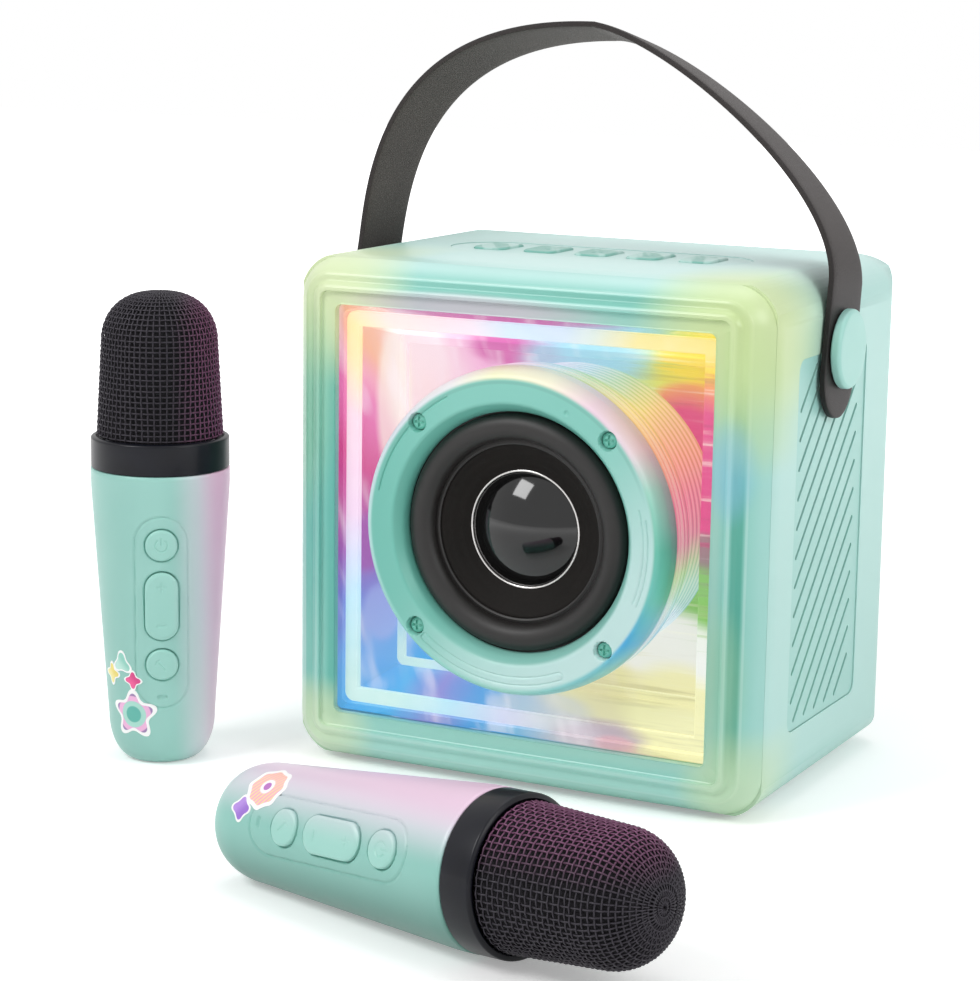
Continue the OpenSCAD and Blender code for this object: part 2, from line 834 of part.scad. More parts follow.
module rear_cover() color(mint) {
    difference() {
        intersection() {
            cabinet_block();
            depth_slab(rear_split_y, rear_y);
        }
        cabinet_block(wall);
        along_y(rear_in_y - over, rear_y + over)
            translate([0, socket_z]) rounded_rect(socket_w + 2 * fit_gap, socket_h + 2 * fit_gap, socket_corner_r);
        rear_screw_holes();
    }
    difference() {
        rear_screw_places() translate([0, 0, -rear_d]) cylinder(r = post_r, h = rear_d - 0.5);
        rear_screw_holes();
    }
    for (sx = [-1, 1], sz = [-1, 1])
        translate([sx * (board_w / 2 - board_hole_in), rear_in_y + 0.5, board_z + sz * (board_h / 2 - board_hole_in)])
        rotate([90, 0, 0]) cylinder(r = standoff_r, h = rear_in_y + 0.5 - board_y - board_t);
}

// Moves children to the four rear screws: +Z of the child points out of the back
module rear_screw_places() {
    for (sx = [-1, 1], sz = [-1, 1])
        translate([post_x(sx), rear_y, post_z(sz)]) rotate([-90, 0, 0]) children();
}

// Holes for the rear screws, with a counterbore for each head
module rear_screw_holes() {
    rear_screw_places() {
        cylinder(r = rear_screw_r + screw_gap, h = 4 * rear_d, center = true);
        translate([0, 0, -rear_screw_head_t - 1]) cylinder(r = rear_screw_head_r + fit_gap, h = rear_d);
    }
}

module rear_screws() color(steel) {
    rear_screw_places() difference() {
        union() {
            translate([0, 0, -rear_screw_head_t - 1]) cylinder(r = rear_screw_head_r, h = rear_screw_head_t);
            translate([0, 0, -rear_screw_head_t - 1 - rear_screw_l - rear_d / 2])
                cylinder(r = rear_screw_r, h = rear_screw_l + rear_d / 2 + 1);
        }
        for (a = [0, 90])
            rotate([0, 0, a]) translate([0, 0, -1]) cube([4, 0.9, 2.4], center = true);
    }
}

module main_board() color(board_green) {
    along_y(board_y, board_y + board_t)
        translate([0, board_z]) square([board_w, board_h], center = true);
    for (x = [-chips_apart, 0, chips_apart])
        along_y(board_y - chip_t, board_y + fit_gap)
            translate([x, board_z]) square([chip_w, chip_h], center = true);
}

// Charging socket and sound socket in one moulded block behind the rear cover
module socket_block() color([0.2, 0.22, 0.24]) {
    difference() {
        along_y(board_y + board_t, socket_face_y)
            translate([0, socket_z]) rounded_rect(socket_w, socket_h, socket_corner_r);
        along_y(socket_face_y - charge_d, rear_y + over)
            translate([-socket_apart / 2, socket_z]) stadium(charge_w, charge_h);
        along_y(socket_face_y - sound_d + 1, rear_y + over)
            translate([socket_apart / 2, socket_z]) circle(sound_r);
    }
}

module battery_pack() color([0.18, 0.32, 0.62]) {
    z = shell_bottom + wall + battery_r;
    along_x(-battery_l / 2, battery_l / 2) {
        for (s = [0, 1])
            translate([battery_y + s * battery_cells_apart, z]) circle(battery_r);
        translate([battery_y, z - battery_r]) square([battery_cells_apart, 2 * battery_r]);
    }
}

module base_pad() color([0.55, 0.8, 0.76]) {
    linear_extrude(pad_t) rounded_rect(pad_w, pad_d, 10);
}

// Top keys

module key_outline(margin) {
    rounded_rect(key_l + 2 * margin, key_w + 2 * margin, 3 + margin);
}

function key_x(i) = (i - (key_count - 1) / 2) * key_pitch;
strip_top_z = body_h - wall + strip_t;
strip_under_z = body_h - wall - strip_flange_t;
key_board_z = strip_under_z - key_board_drop;

module control_strip() color(mint) {
    difference() {
        union() {
            translate([0, strip_y, body_h - wall - over]) linear_extrude(strip_t + over) stadium(strip_l, strip_w);
            translate([0, strip_y, strip_under_z])
                linear_extrude(strip_flange_t) stadium(strip_l + 2 * strip_flange, strip_w + 2 * strip_flange);
            for (sx = [-1, 1], sy = [-1, 1])
                translate([sx * (strip_l / 2 - key_post_end), strip_y + sy * (strip_w / 2 - key_post_in),
                    key_board_z + key_board_t])
                cylinder(r = key_post_r, h = strip_under_z - key_board_z - key_board_t + 0.5);
        }
        for (i = [0 : key_count - 1])
            translate([key_x(i), strip_y, strip_under_z - over])
            linear_extrude(strip_t + strip_flange_t + 2 * over) key_outline(key_gap);
    }
}

module top_key(i) color(pale_mint) {
    translate([key_x(i), strip_y, 0]) {
        translate([0, 0, strip_under_z - key_gap - key_flange_t])
            linear_extrude(key_flange_t) key_outline(key_gap + key_flange);
        translate([0, 0, strip_under_z - 0.8])
            linear_extrude(strip_top_z + key_proud - strip_under_z + 0.8) key_outline(0);
    }
}

// Circuit board under the keys, with one click dome for each
module key_board() color(board_green) {
    translate([0, strip_y, key_board_z + key_board_t / 2])
        cube([strip_l + key_board_over, strip_w - key_board_over / 2, key_board_t], center = true);
    for (i = [0 : key_count - 1])
        translate([key_x(i), strip_y, key_board_z + key_board_t])
        cylinder(r = key_dome_r, h = strip_under_z - key_gap - key_flange_t - key_travel - fit_gap
            - key_board_z - key_board_t);
}

// Strap

// Point of a cubic curve through four control points
function bezier(p, u) = pow(1 - u, 3) * p[0] + 3 * pow(1 - u, 2) * u * p[1]
    + 3 * (1 - u) * u * u * p[2] + pow(u, 3) * p[3];
function unit(v) = v / norm(v);

right_dir = [0, sin(lean_right), cos(lean_right)];
left_dir = [0, sin(lean_left), cos(lean_left)];
right_start = [strap_x, stud_y, stud_z] + (tab_above - tab_sink) * right_dir;
left_start = [-strap_x, stud_y, stud_z] + (tab_above - tab_sink) * left_dir;
crown = [arch_x, arch_y, arch_z];
crown_dir = unit([1, arch_slope, 0]);
right_curve = [right_start, right_start + (right_pull + tab_sink) * right_dir,
    crown + right_crown_pull * crown_dir, crown];
left_curve = [left_start, left_start + (left_pull + tab_sink) * left_dir,
    crown - left_crown_pull * crown_dir, crown];
arch_points = concat(
    [for (i = [0 : arch_steps]) bezier(right_curve, i / arch_steps)],
    [for (i = [arch_steps - 1 : -1 : 0]) bezier(left_curve, i / arch_steps)]);
arch_last = len(arch_points) - 1;

// Direction of the strap at a point of the arch
function arch_tangent(i) = i == 0 ? right_dir : i == arch_last ? -left_dir
    : unit(arch_points[i + 1] - arch_points[i - 1]);

// Roll of the strap at a point of the arch: from the right tab's lean, over the crown, to the left tab's
function arch_lean(i) = i <= arch_steps
    ? lean_right + (arch_roll - lean_right) * i / arch_steps
    : arch_roll + (lean_left - arch_roll) * (i - arch_steps) / arch_steps;

// Four corners of the strap's section at a point of the arch
function arch_ring(i) =
    let (t = arch_tangent(i), a = arch_lean(i), y = [0, cos(a), -sin(a)], w = unit(y - (y * t) * t),
        n = cross(t, w))
    [for (c = [[-1, -1], [1, -1], [1, 1], [-1, 1]])
        arch_points[i] + c[0] * (strap_w / 2 - arch_slack) * w + c[1] * (strap_t / 2 - arch_slack) * n];

module strap_arch() {
    points = [for (i = [0 : arch_last]) each arch_ring(i)];
    sides = [for (i = [0 : arch_last - 1], k = [0 : 3], half = [0, 1])
        let (a = 4 * i + k, b = 4 * i + (k + 1) % 4)
        half == 0 ? [a, b + 4, b] : [a, a + 4, b + 4]];
    last = 4 * arch_last;
    ends = [[0, 1, 2], [0, 2, 3], [last, last + 2, last + 1], [last, last + 3, last + 2]];
    polyhedron(points = points, faces = concat(sides, ends));
}

// Flat end of the strap with its rounded tip and the hole for the stud
module strap_tab(side, lean) {
    translate([side * strap_x, stud_y, stud_z]) rotate([-lean, 0, 0])
        rotate([90, 0, 90]) translate([0, 0, -strap_t / 2]) linear_extrude(strap_t) difference() {
            union() {
                translate([-strap_w / 2, -tab_below]) square([strap_w, tab_above + tab_below]);
                translate([0, -tab_below]) circle(tab_r);
            }
            circle(stud_neck_r + run_gap);
        }
}

module strap() color(leather_brown) {
    strap_arch();
    strap_tab(1, lean_right);
    strap_tab(-1, lean_left);
}

module strap_studs() color(mint) {
    cap_x = side_x + strap_gap + strap_t + 0.3;
    for (s = [-1, 1])
        translate([0, stud_y, stud_z]) rotate([0, s * 90, 0]) difference() {
            union() {
                translate([0, 0, side_x - wall]) cylinder(r = stud_neck_r, h = cap_x - side_x + wall + 0.5);
                translate([0, 0, cap_x]) cylinder(r = stud_cap_r, h = stud_cap_t - 1);
                translate([0, 0, cap_x + stud_cap_t - 1]) cylinder(r1 = stud_cap_r, r2 = stud_cap_r - 1, h = 1);
            }
            translate([0, 0, side_x - wall - over]) cylinder(r = stud_screw_r + screw_gap, h = wall + 3 + over);
        }
}

module stud_screws() color(steel) {
    for (s = [-1, 1])
        translate([0, stud_y, stud_z]) rotate([0, s * 90, 0]) {
            translate([0, 0, side_x - wall - stud_base_t]) cylinder(r = stud_base_r, h = stud_base_t);
            translate([0, 0, side_x - wall - stud_base_t - 1.4]) cylinder(r = 3, h = 1.6);
            translate([0, 0, side_x - wall - 0.2]) cylinder(r = stud_screw_r, h = wall + 2.5);
        }
}

// Microphones: each stands on its tail at the origin, with its keys facing -Y

module mic_a_place() {
    translate([-stand_left, -stand_forward, 0]) rotate([0, 0, stand_turn]) children();
}

module mic_b_place() {
    translate([-lie_left, -lie_forward, lie_axis_z])
        rotate([0, 0, -lie_turn]) rotate([0, 90 - mic_taper, 0]) rotate([0, 0, -lie_roll]) children();
}

// Outline of the body: a rounded tail, then a taper up to the collar, drawn in by a wall
function mic_radius(z) = z < mic_tail_l
    ? mic_end_r + (mic_tail_r - mic_end_r) * sqrt(1 - pow(1 - z / mic_tail_l, 2))
    : min(mic_r, mic_tail_r + (mic_r - mic_tail_r) * (z - mic_tail_l) / (mic_body_l - 5 - mic_tail_l));
mic_heights = concat([for (i = [0 : mic_tail_steps]) mic_tail_l * (1 - cos(90 * i / mic_tail_steps))],
    [mic_body_l - 5, mic_body_l]);

module mic_outline(draw_in) {
    polygon(concat([[0, 0]], [for (z = mic_heights) [mic_radius(z) - draw_in, z]], [[0, mic_body_l]]));
}

// Prism that points out of the keys' side at one height
module mic_front(z, from, to) {
    translate([0, -from, z]) rotate([90, 0, 0]) linear_extrude(to - from) children();
}

module mic_panel_outline(margin) {
    rotate(90) stadium(mic_panel_l + 2 * margin, mic_panel_w + 2 * margin);
}

module mic_shell() color(mint) {
    difference() {
        union() {
            difference() {
                rotate_extrude() mic_outline(0);
                translate([0, 0, mic_wall]) rotate_extrude() mic_outline(mic_wall);
                translate([0, 0, mic_body_l - over]) cylinder(r = mic_r - mic_wall, h = 2 * over);
            }
            intersection() {
                rotate_extrude() mic_outline(0.5);
                for (s = [-1, 1])
                    translate([s * (mic_board_w / 2 + mic_rail_w / 2 - 2), mic_rail_t / 2 - mic_board_y, mic_panel_z])
                    cube([mic_rail_w, mic_rail_t, mic_board_l], center = true);
            }
        }
        translate([0, 0, -over]) cylinder(r = mic_end_r - 1.5 + 0.1, h = mic_wall + 2 * over);
        mic_front(mic_panel_z, mic_board_y + mic_board_t + 0.3, mic_r + over) mic_panel_outline(0.15);
    }
}

module mic_tail_cap() color(pale_mint) {
    difference() {
        cylinder(r = mic_end_r - 1.5, h = tail_plug_l);
        translate([0, 0, -over]) linear_extrude(3 + over) stadium(9, 3.2);
    }
}

module mic_panel() color(pale_mint) {
    difference() {
        intersection() {
            difference() {
                rotate_extrude() mic_outline(0);
                rotate_extrude() mic_outline(mic_panel_t);
            }
            mic_front(mic_panel_z, mic_board_y + mic_board_t + 0.3, mic_r + over) mic_panel_outline(0);
        }
        for (z = [power_z, effect_z])
            mic_front(z, 0, mic_r + over) circle(mic_key_r + 0.2);
        mic_front(rocker_z, 0, mic_r + over) rotate(90) stadium(rocker_l + 0.6, rocker_w + 0.6);
        mic_front(led_slot_z, 0, mic_r + over) stadium(led_slot_l, led_slot_w);
    }
}

// Distance from the axis to the back of a key whose collar lies behind the curved panel
function key_back(z, collar_r, gap) =
    sqrt(pow(mic_radius(z - collar_r) - mic_panel_t, 2) - collar_r * collar_r) - gap - mic_collar_t;
function round_key_back(z) = key_back(z, mic_key_r + mic_key_flange, key_gap);
rocker_back = key_back(rocker_z - rocker_l / 2 + rocker_w / 2, rocker_w / 2 + mic_key_flange, rocker_play);

// Round key with a collar behind the panel that keeps it in
module mic_round_key(z) {
    back = round_key_back(z);
    mic_front(z, back, mic_radius(z) + mic_key_proud) circle(mic_key_r);
    mic_front(z, back, back + mic_collar_t) circle(mic_key_r + mic_key_flange);
}

module mic_power_key() {
    color(pale_mint) mic_round_key(power_z);
}

module mic_effect_key() {
    color(pale_mint) mic_round_key(effect_z);
}

// Volume rocker that tilts about a line across its middle
module mic_rocker() color(pale_mint) {
    mic_front(rocker_z, rocker_back, mic_radius(rocker_z) + mic_key_proud + 0.2)
        rotate(90) stadium(rocker_l, rocker_w);
    mic_front(rocker_z, rocker_back, rocker_back + mic_collar_t)
        rotate(90) stadium(rocker_l + 2 * mic_key_flange, rocker_w + 2 * mic_key_flange);
}

module mic_collar() color(collar_blue) {
    difference() {
        union() {
            translate([0, 0, mic_body_l]) cylinder(r = mic_r - 0.1, h = collar_l);
            translate([0, 0, mic_body_l - spigot_l]) cylinder(r = mic_r - mic_wall - 0.15, h = spigot_l + 1);
        }
        translate([0, 0, mic_body_l - spigot_l - over])
            cylinder(r = mic_r - collar_wall, h = collar_l + spigot_l + 2 * over);
    }
}

// Outline of the wire grille: a barrel that narrows a little and a rounded top
function grille_profile(draw_in) = concat(
    [[0, collar_top], [grille_r - draw_in, collar_top], [grille_dome_r - draw_in, dome_base]],
    [for (i = [1 : grille_dome_steps]) let (a = 90 * i / grille_dome_steps)
        [(grille_dome_r - draw_in) * pow(cos(a), 0.75), dome_base + (grille_dome_h - draw_in) * sin(a)]]);

module mic_grille() color(grille_black) {
    difference() {
        rotate_extrude() polygon(grille_profile(0));
        rotate_extrude() polygon(grille_profile(grille_wall));
        translate([0, 0, collar_top - over]) cylinder(r = grille_r - grille_wall, h = over + 0.1);
    }
}

// Capsule on the disc that closes the collar
module mic_capsule() color(steel) {
    translate([0, 0, collar_top - capsule_disc_t - 2]) cylinder(r = mic_r - collar_wall - 0.1, h = capsule_disc_t);
    translate([0, 0, collar_top - 2.5]) cylinder(r = capsule_r, h = capsule_l);
}

// Circuit board on its rails, with a click switch behind each key and at each end of the rocker
module mic_board() color(board_green) {
    front = mic_board_y + mic_board_t;
    end_z = rocker_l / 2 - 3;
    mic_front(mic_panel_z, mic_board_y, front) square([mic_board_w, mic_board_l - 2], center = true);
    for (z = [power_z, effect_z])
        mic_front(z, front, round_key_back(z) - mic_key_travel - 0.1) square(4, center = true);
    for (s = [-1, 1])
        mic_front(rocker_z + s * end_z, front, rocker_back - rocker_l * sin(rocker_tilt) / 2 - 0.1)
        square(3.4, center = true);
}

module mic_battery() color([0.18, 0.32, 0.62]) {
    translate([0, 0, tail_plug_l]) cylinder(r = mic_battery_r, h = mic_battery_l);
}

main_shell();
front_bezel();
window_panel();
light_frame();
chamber_walls();
mirror_plate();
led_strips();
speaker_can();
speaker_ring();
ring_screws();
basket();
surround();
cone();
dust_cap();
voice_coil();
spider();
magnet();
pole_plates();
grille_right();
grille_left();
rear_cover();
rear_screws();
control_strip();
top_key(0);  // top_key_1
top_key(1);  // top_key_2
top_key(2);  // top_key_3
top_key(3);  // top_key_4
top_key(4);  // top_key_5
key_board();
main_board();
battery_pack();
socket_block();
base_pad();
strap();
strap_studs();
stud_screws();
mic_a_place() mic_shell();  // mic_a_shell
mic_a_place() mic_tail_cap();  // mic_a_tail_cap
mic_a_place() mic_collar();  // mic_a_collar
mic_a_place() mic_grille();  // mic_a_grille
mic_a_place() mic_capsule();  // mic_a_capsule
mic_a_place() mic_board();  // mic_a_board
mic_a_place() mic_battery();  // mic_a_battery
mic_a_place() mic_panel();  // mic_a_panel
mic_a_place() mic_power_key();  // mic_a_power_key
mic_a_place() mic_rocker();  // mic_a_rocker
mic_a_place() mic_effect_key();  // mic_a_effect_key
mic_b_place() mic_shell();  // mic_b_shell
mic_b_place() mic_tail_cap();  // mic_b_tail_cap
mic_b_place() mic_collar();  // mic_b_collar
mic_b_place() mic_grille();  // mic_b_grille
mic_b_place() mic_capsule();  // mic_b_capsule
mic_b_place() mic_board();  // mic_b_board
mic_b_place() mic_battery();  // mic_b_battery
mic_b_place() mic_panel();  // mic_b_panel
mic_b_place() mic_power_key();  // mic_b_power_key
mic_b_place() mic_rocker();  // mic_b_rocker
mic_b_place() mic_effect_key();  // mic_b_effect_key
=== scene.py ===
import math

import bmesh
import bpy
import numpy as np
from mathutils import Matrix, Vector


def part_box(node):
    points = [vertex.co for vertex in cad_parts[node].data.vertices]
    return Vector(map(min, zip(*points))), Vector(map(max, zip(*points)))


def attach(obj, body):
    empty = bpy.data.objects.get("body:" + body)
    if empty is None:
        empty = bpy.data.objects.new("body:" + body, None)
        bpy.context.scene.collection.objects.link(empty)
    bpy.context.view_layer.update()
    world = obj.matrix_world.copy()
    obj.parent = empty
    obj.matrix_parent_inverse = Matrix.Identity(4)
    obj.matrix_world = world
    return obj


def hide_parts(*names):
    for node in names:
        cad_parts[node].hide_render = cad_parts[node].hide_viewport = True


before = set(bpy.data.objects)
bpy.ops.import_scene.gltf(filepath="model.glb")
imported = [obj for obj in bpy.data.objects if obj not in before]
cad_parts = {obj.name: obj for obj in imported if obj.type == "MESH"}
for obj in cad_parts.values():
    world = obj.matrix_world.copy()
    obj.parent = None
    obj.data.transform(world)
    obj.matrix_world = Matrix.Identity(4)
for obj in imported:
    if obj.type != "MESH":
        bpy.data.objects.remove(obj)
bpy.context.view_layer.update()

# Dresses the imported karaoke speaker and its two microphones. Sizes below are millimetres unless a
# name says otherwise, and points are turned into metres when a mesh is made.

MM = 0.001

# Main sizes, as in the part's source
SIDE_X = 79.0
MID_Z = 80.5
HALF_H = 79.5
EDGE_R = 14.0
FRONT_Y = -59.0
SPLIT_Y = -50.0
WINDOW_HALF = (62.5, 64.0)
WINDOW_Z = 81.5
PANEL_Y = -57.0
LIP_Y = -55.0
SPEAKER_Z = 81.0
RING_Y = -62.0
RING_BACK_Y = -52.0
RING_FACE_R = 47.4
MOUTH_R = 36.5
CAN_R = 50.0
SCREW_R = 44.35
MIRROR_Y = -12.0
STUD_Y = -4.0
STUD_Z = 136.6
STRAP_X = 80.5
STRAP_W = 26.0
STRAP_T = 2.2

# Relief and depth in metres of moulded plastic's grain, and how far the lit pattern drifts
# aside and up with each millimetre of depth
GRAIN_RELIEF, GRAIN_DEPTH = 0.12, 0.00004
DRIFT_ASIDE, DRIFT_UP = 0.47, 0.19

# Strap, in degrees and in millimetres from the stud along a tab: leans, the crown's roll, the
# tab's end, the control points beyond it, the crown's reach each way, and the rounded tip
LEAN_RIGHT, LEAN_LEFT, CROWN_ROLL = 9.0, 17.0, 11.0
TAB_END, RIGHT_AIM, LEFT_AIM = 19.0, 49.5, 38.5
CROWN_RIGHT, CROWN_LEFT, TIP_REACH = 19.5, 70.5, 21.0


# Materials

def paint(code):
    """Linear colour of a six-figure hex code: each channel is undone from its sRGB curve."""
    channels = [int(code[i:i + 2], 16) / 255 for i in (0, 2, 4)]
    linear = [c / 12.92 if c <= 0.04045 else ((c + 0.055) / 1.055) ** 2.4 for c in channels]
    return (*linear, 1.0)


class Wire:
    """A socket of a material's nodes; sums and products of wires add Math nodes."""

    def __init__(self, finish, socket):
        self.finish = finish
        self.socket = socket

    def math(self, operation, first, second=0.0):
        return self.finish.node("Math", {"operation": operation}, {0: first, 1: second})

    def rise(self, low, high):
        """0 below low, 1 above high and a smooth step between them."""
        settings = {"interpolation_type": "SMOOTHSTEP"}
        return self.finish.node("MapRange", settings, {0: self, 1: low, 2: high})

    def bump_at(self, centre, half, soft):
        """1 where the value is within half of centre, fading to 0 over soft."""
        return 1 - (self - centre).absolute().rise(half, half + soft)


def add_operators():
    """Gives Wire its operators, each with its reflected form, and its plain functions."""
    def forward(operation):
        return lambda self, other: self.math(operation, self, other)

    def reflected(operation):
        return lambda self, other: self.math(operation, other, self)

    def alone(operation):
        return lambda self: self.math(operation, self)

    for sign, operation in (("add", "ADD"), ("sub", "SUBTRACT"), ("mul", "MULTIPLY"),
                            ("truediv", "DIVIDE"), ("pow", "POWER")):
        setattr(Wire, f"__{sign}__", forward(operation))
        setattr(Wire, f"__r{sign}__", reflected(operation))
    for name, operation in (("least", "MINIMUM"), ("most", "MAXIMUM")):
        setattr(Wire, name, forward(operation))
    for name, operation in (("absolute", "ABSOLUTE"), ("sine", "SINE"), ("fraction", "FRACT")):
        setattr(Wire, name, alone(operation))


add_operators()


class Finish:
    """A material being made: node() adds any node, surface() ends it."""

    def __init__(self, name):
        self.material = bpy.data.materials.new(name)
        self.material.use_nodes = True
        self.tree = self.material.node_tree
        self.tree.nodes.clear()

    def node(self, kind, settings=None, inputs=None, output=0):
        """Adds a node of a kind, sets its settings, then gives its sockets values or links. A hex
        code given to a socket becomes its colour."""
        node = self.tree.nodes.new("ShaderNode" + kind)
        for name, value in (settings or {}).items():
            if name == "stops":
                self.set_stops(node.color_ramp, value)
            else:
                setattr(node, name, value)
        for key, value in (inputs or {}).items():
            if isinstance(value, Wire):
                self.tree.links.new(value.socket, node.inputs[key])
            else:
                node.inputs[key].default_value = paint(value) if isinstance(value, str) else value
        return Wire(self, node.outputs[output])

    def set_stops(self, ramp, stops):
        """Gives a colour ramp its stops: pairs of a place and a hex code, in order."""
        while len(ramp.elements) < len(stops):
            ramp.elements.new(0.5)
        for element, (place, code) in zip(ramp.elements, stops):
            element.position = place
            element.color = paint(code)

    def place(self):
        """Object coordinates in millimetres, as one vector wire."""
        coords = self.node("TexCoord", output=3)
        return self.node("VectorMath", {"operation": "SCALE"}, {0: coords, "Scale": 1000.0})

    def parts(self, vector):
        """The three numbers of a vector wire."""
        split = self.node("SeparateXYZ", inputs={0: vector})
        sockets = split.socket.node.outputs
        return [Wire(self, socket) for socket in sockets]

    def vector(self, x, y, z):
        return self.node("CombineXYZ", inputs={0: x, 1: y, 2: z})

    def noise(self, place, size, detail=3.0, roughness=0.5):
        """Even noise about 0.5 whose blobs are about size across."""
        inputs = {"Vector": place, "Scale": 1 / size, "Detail": detail, "Roughness": roughness}
        return self.node("TexNoise", inputs=inputs)

    def mix(self, factor, first, second, blend="MIX"):
        settings = {"data_type": "RGBA", "blend_type": blend}
        return self.node("Mix", settings, {0: factor, 6: first, 7: second}, 2)

    def surface(self, base, roughness, height=None, relief=0.2, depth=0.0002, **sockets):
        """Ends the material with a Principled shader; height feeds a Bump node."""
        inputs = {"Base Color": base, "Roughness": roughness}
        for name, value in sockets.items():
            inputs[name.replace("_", " ").title().replace("Ior", "IOR")] = value
        if height is not None:
            bump = {"Strength": relief, "Distance": depth, "Height": height}
            inputs["Normal"] = self.node("Bump", inputs=bump)
        return self.end(self.node("BsdfPrincipled", inputs=inputs))

    def plastic(self, base, roughness, grain):
        """Ends the material as moulded plastic with a shallow fine grain."""
        return self.surface(base, roughness, grain, GRAIN_RELIEF, GRAIN_DEPTH, specular_ior_level=0.5)

    def end(self, shader):
        output = self.tree.nodes.new("ShaderNodeOutputMaterial")
        self.tree.links.new(shader.socket, output.inputs["Surface"])
        return self.material


def begun(name):
    """A new material, the place on it in millimetres, and that place's three numbers."""
    finish = Finish(name)
    place = finish.place()
    return (finish, place, *finish.parts(place))


def blob(x, z, centre_x, centre_z, radius_x, radius_z):
    """1 in the middle of an ellipse and 0 outside it, falling smoothly."""
    a = (x - centre_x) / radius_x
    b = (z - centre_z) / radius_z
    return 1 - (a * a + b * b).rise(0.0, 1.0)


# Painted light of the chamber's lamps on the mirror film, round the chamber: places run from the left side
# (0) down and round by the bottom
FILM_STOPS = [(0.00, "b845a0"), (0.025, "a04ba8"), (0.072, "7a7fd0"), (0.105, "6fa4e4"),
              (0.15, "4aaee6"), (0.18, "8f8fd2"), (0.21, "4f9fdc"), (0.25, "6cb4dc"),
              (0.285, "b8c0cc"), (0.33, "cbb8b4"), (0.36, "efe7a8"), (0.42, "f3f2ea"),
              (0.452, "a8cf7c"), (0.472, "7fb85c"), (0.49, "8a7a78"), (0.51, "b03a70"),
              (0.535, "d92c78"), (0.572, "d92c78"), (0.594, "ea6a60"), (0.609, "f0a050"),
              (0.62, "f3d73a"), (0.638, "c9d860"), (0.672, "8fd3dc"), (0.712, "a9d4ea"),
              (0.745, "d773b8"), (0.79, "f0b0d4"), (0.835, "f7d8e2"), (0.862, "f6b48a"),
              (0.885, "f2a0b8"), (0.905, "e86fb0"), (0.956, "d23c88"), (1.00, "b845a0")]
STRIP_STOPS = [(0.00, "f3cdea"), (0.035, "d4d8f6"), (0.07, "b0e4f6"), (0.12, "b8e2dc"),
               (0.15, "bfe6de"), (0.19, "a8dcec"), (0.24, "c4c8e6"), (0.285, "d2d4d4"),
               (0.33, "e8dcc0"), (0.38, "f4f0bc"), (0.42, "f4f3ec"), (0.455, "a8d080"),
               (0.485, "a09080"), (0.51, "d04888"), (0.57, "e04080"), (0.60, "f09058"),
               (0.62, "f6dc58"), (0.66, "f4e07a"), (0.69, "d8e4d8"), (0.72, "c8dcf4"),
               (0.76, "cde4f6"), (0.80, "fddde8"), (0.85, "fde2d8"), (0.872, "fde391"),
               (0.89, "fde0a0"), (0.92, "fcd0e0"), (1.00, "f3cdea")]


def slanted(x, y, z):
    """Width and height in the window's plane: depth carries the pattern aside and up, so that
    the colours on the walls and on the mirror behind run on from those at the window."""
    deep = y - PANEL_Y
    return x + deep * DRIFT_ASIDE, z + deep * DRIFT_UP


def round_colours(finish, x, z, stops, warp=0.0):
    """Colour by the angle round the driver's axis, from a ramp, with a small warp."""
    angle = x.math("ARCTAN2", SPEAKER_Z - z, 0.0 - x)
    turn = (angle / math.tau + 1.0 + warp).fraction()
    return finish.node("ValToRGB", {"stops": stops}, {0: turn})


def plastic_skin(finish, place):
    """Fine even grain of moulded plastic: a height for bump and a roughness."""
    grain = finish.noise(place, 0.25, 2.0)
    cloud = finish.noise(place, 9.0, 2.0)
    return grain, 0.30 + 0.10 * cloud + 0.04 * grain


def mint_plastic(name, base="93d2c6", deep="86c8bb"):
    """Satin mint plastic in two close tones."""
    f = Finish(name)
    place = f.place()
    grain, roughness = plastic_skin(f, place)
    colour = f.mix(f.noise(place, 22.0, 2.0), base, deep)
    return f.plastic(colour, roughness, grain)


def key_finish(name):
    """Satin keys a little darker than the strip, with pale slanted patches of painted highlight on them."""
    f, place, x, y, z = begun(name)
    grain, roughness = plastic_skin(f, place)
    colour = f.mix(f.noise(place, 6.0, 2.0), "86c4b8", "78b9ac")
    # painted highlight: pale slanted patches of reflected light
    patch = f.noise(f.vector((x + y * 0.5) / 5.0, y / 30.0, z / 30.0), 1.0, 1.0)
    colour = f.mix(patch.rise(0.48, 0.60) * 0.8, colour, "bfe3dc")
    return f.plastic(colour, roughness, grain)


# Painted light of the chamber's lamps glowing through the plastic, one soft ellipse each, and one darker
# teal ellipse of painted shade at the left: colour, strength, middle across and up, reach across and up,
# and how far back from the front it reaches
CORNER_GLOW = [
    ("dfe8b4", 0.85, -68, 148, 36, 30, 22.0), ("bcdca0", 0.55, -76, 116, 16, 44, 12.0),
    ("5fb8ac", 0.5, -70, 92, 14, 60, 9.0), ("d5e29a", 0.8, 70, 146, 36, 30, 24.0),
    ("c3dc9c", 0.55, 74, 126, 18, 24, 16.0), ("86c4e0", 0.5, 68, 106, 9, 18, 10.0),
    ("cfe2b0", 0.6, 72, 10, 20, 22, 16.0), ("dfe8b8", 0.6, -70, 12, 24, 18, 16.0),
    ("b4d8a8", 0.3, 66, 42, 10, 30, 10.0), ("d9b8cc", 0.6, -16, 147.5, 50, 5, 8.0)]


def glow_through(finish, place, colour):
    """Paints the chamber's light shining through the plastic into its colour: one soft ellipse a light.
    This is painted light, and the darker teal ellipse at the left is painted shade.
    """
    x, y, z = finish.parts(place)
    for code, strength, centre_x, centre_z, radius_x, radius_z, reach in CORNER_GLOW:
        near = 1 - y.rise(FRONT_Y + reach * 0.4, FRONT_Y + reach * 2.6)
        mask = blob(x, z, centre_x, centre_z, radius_x, radius_z)
        colour = finish.mix(mask * near * strength, colour, code)
    return colour


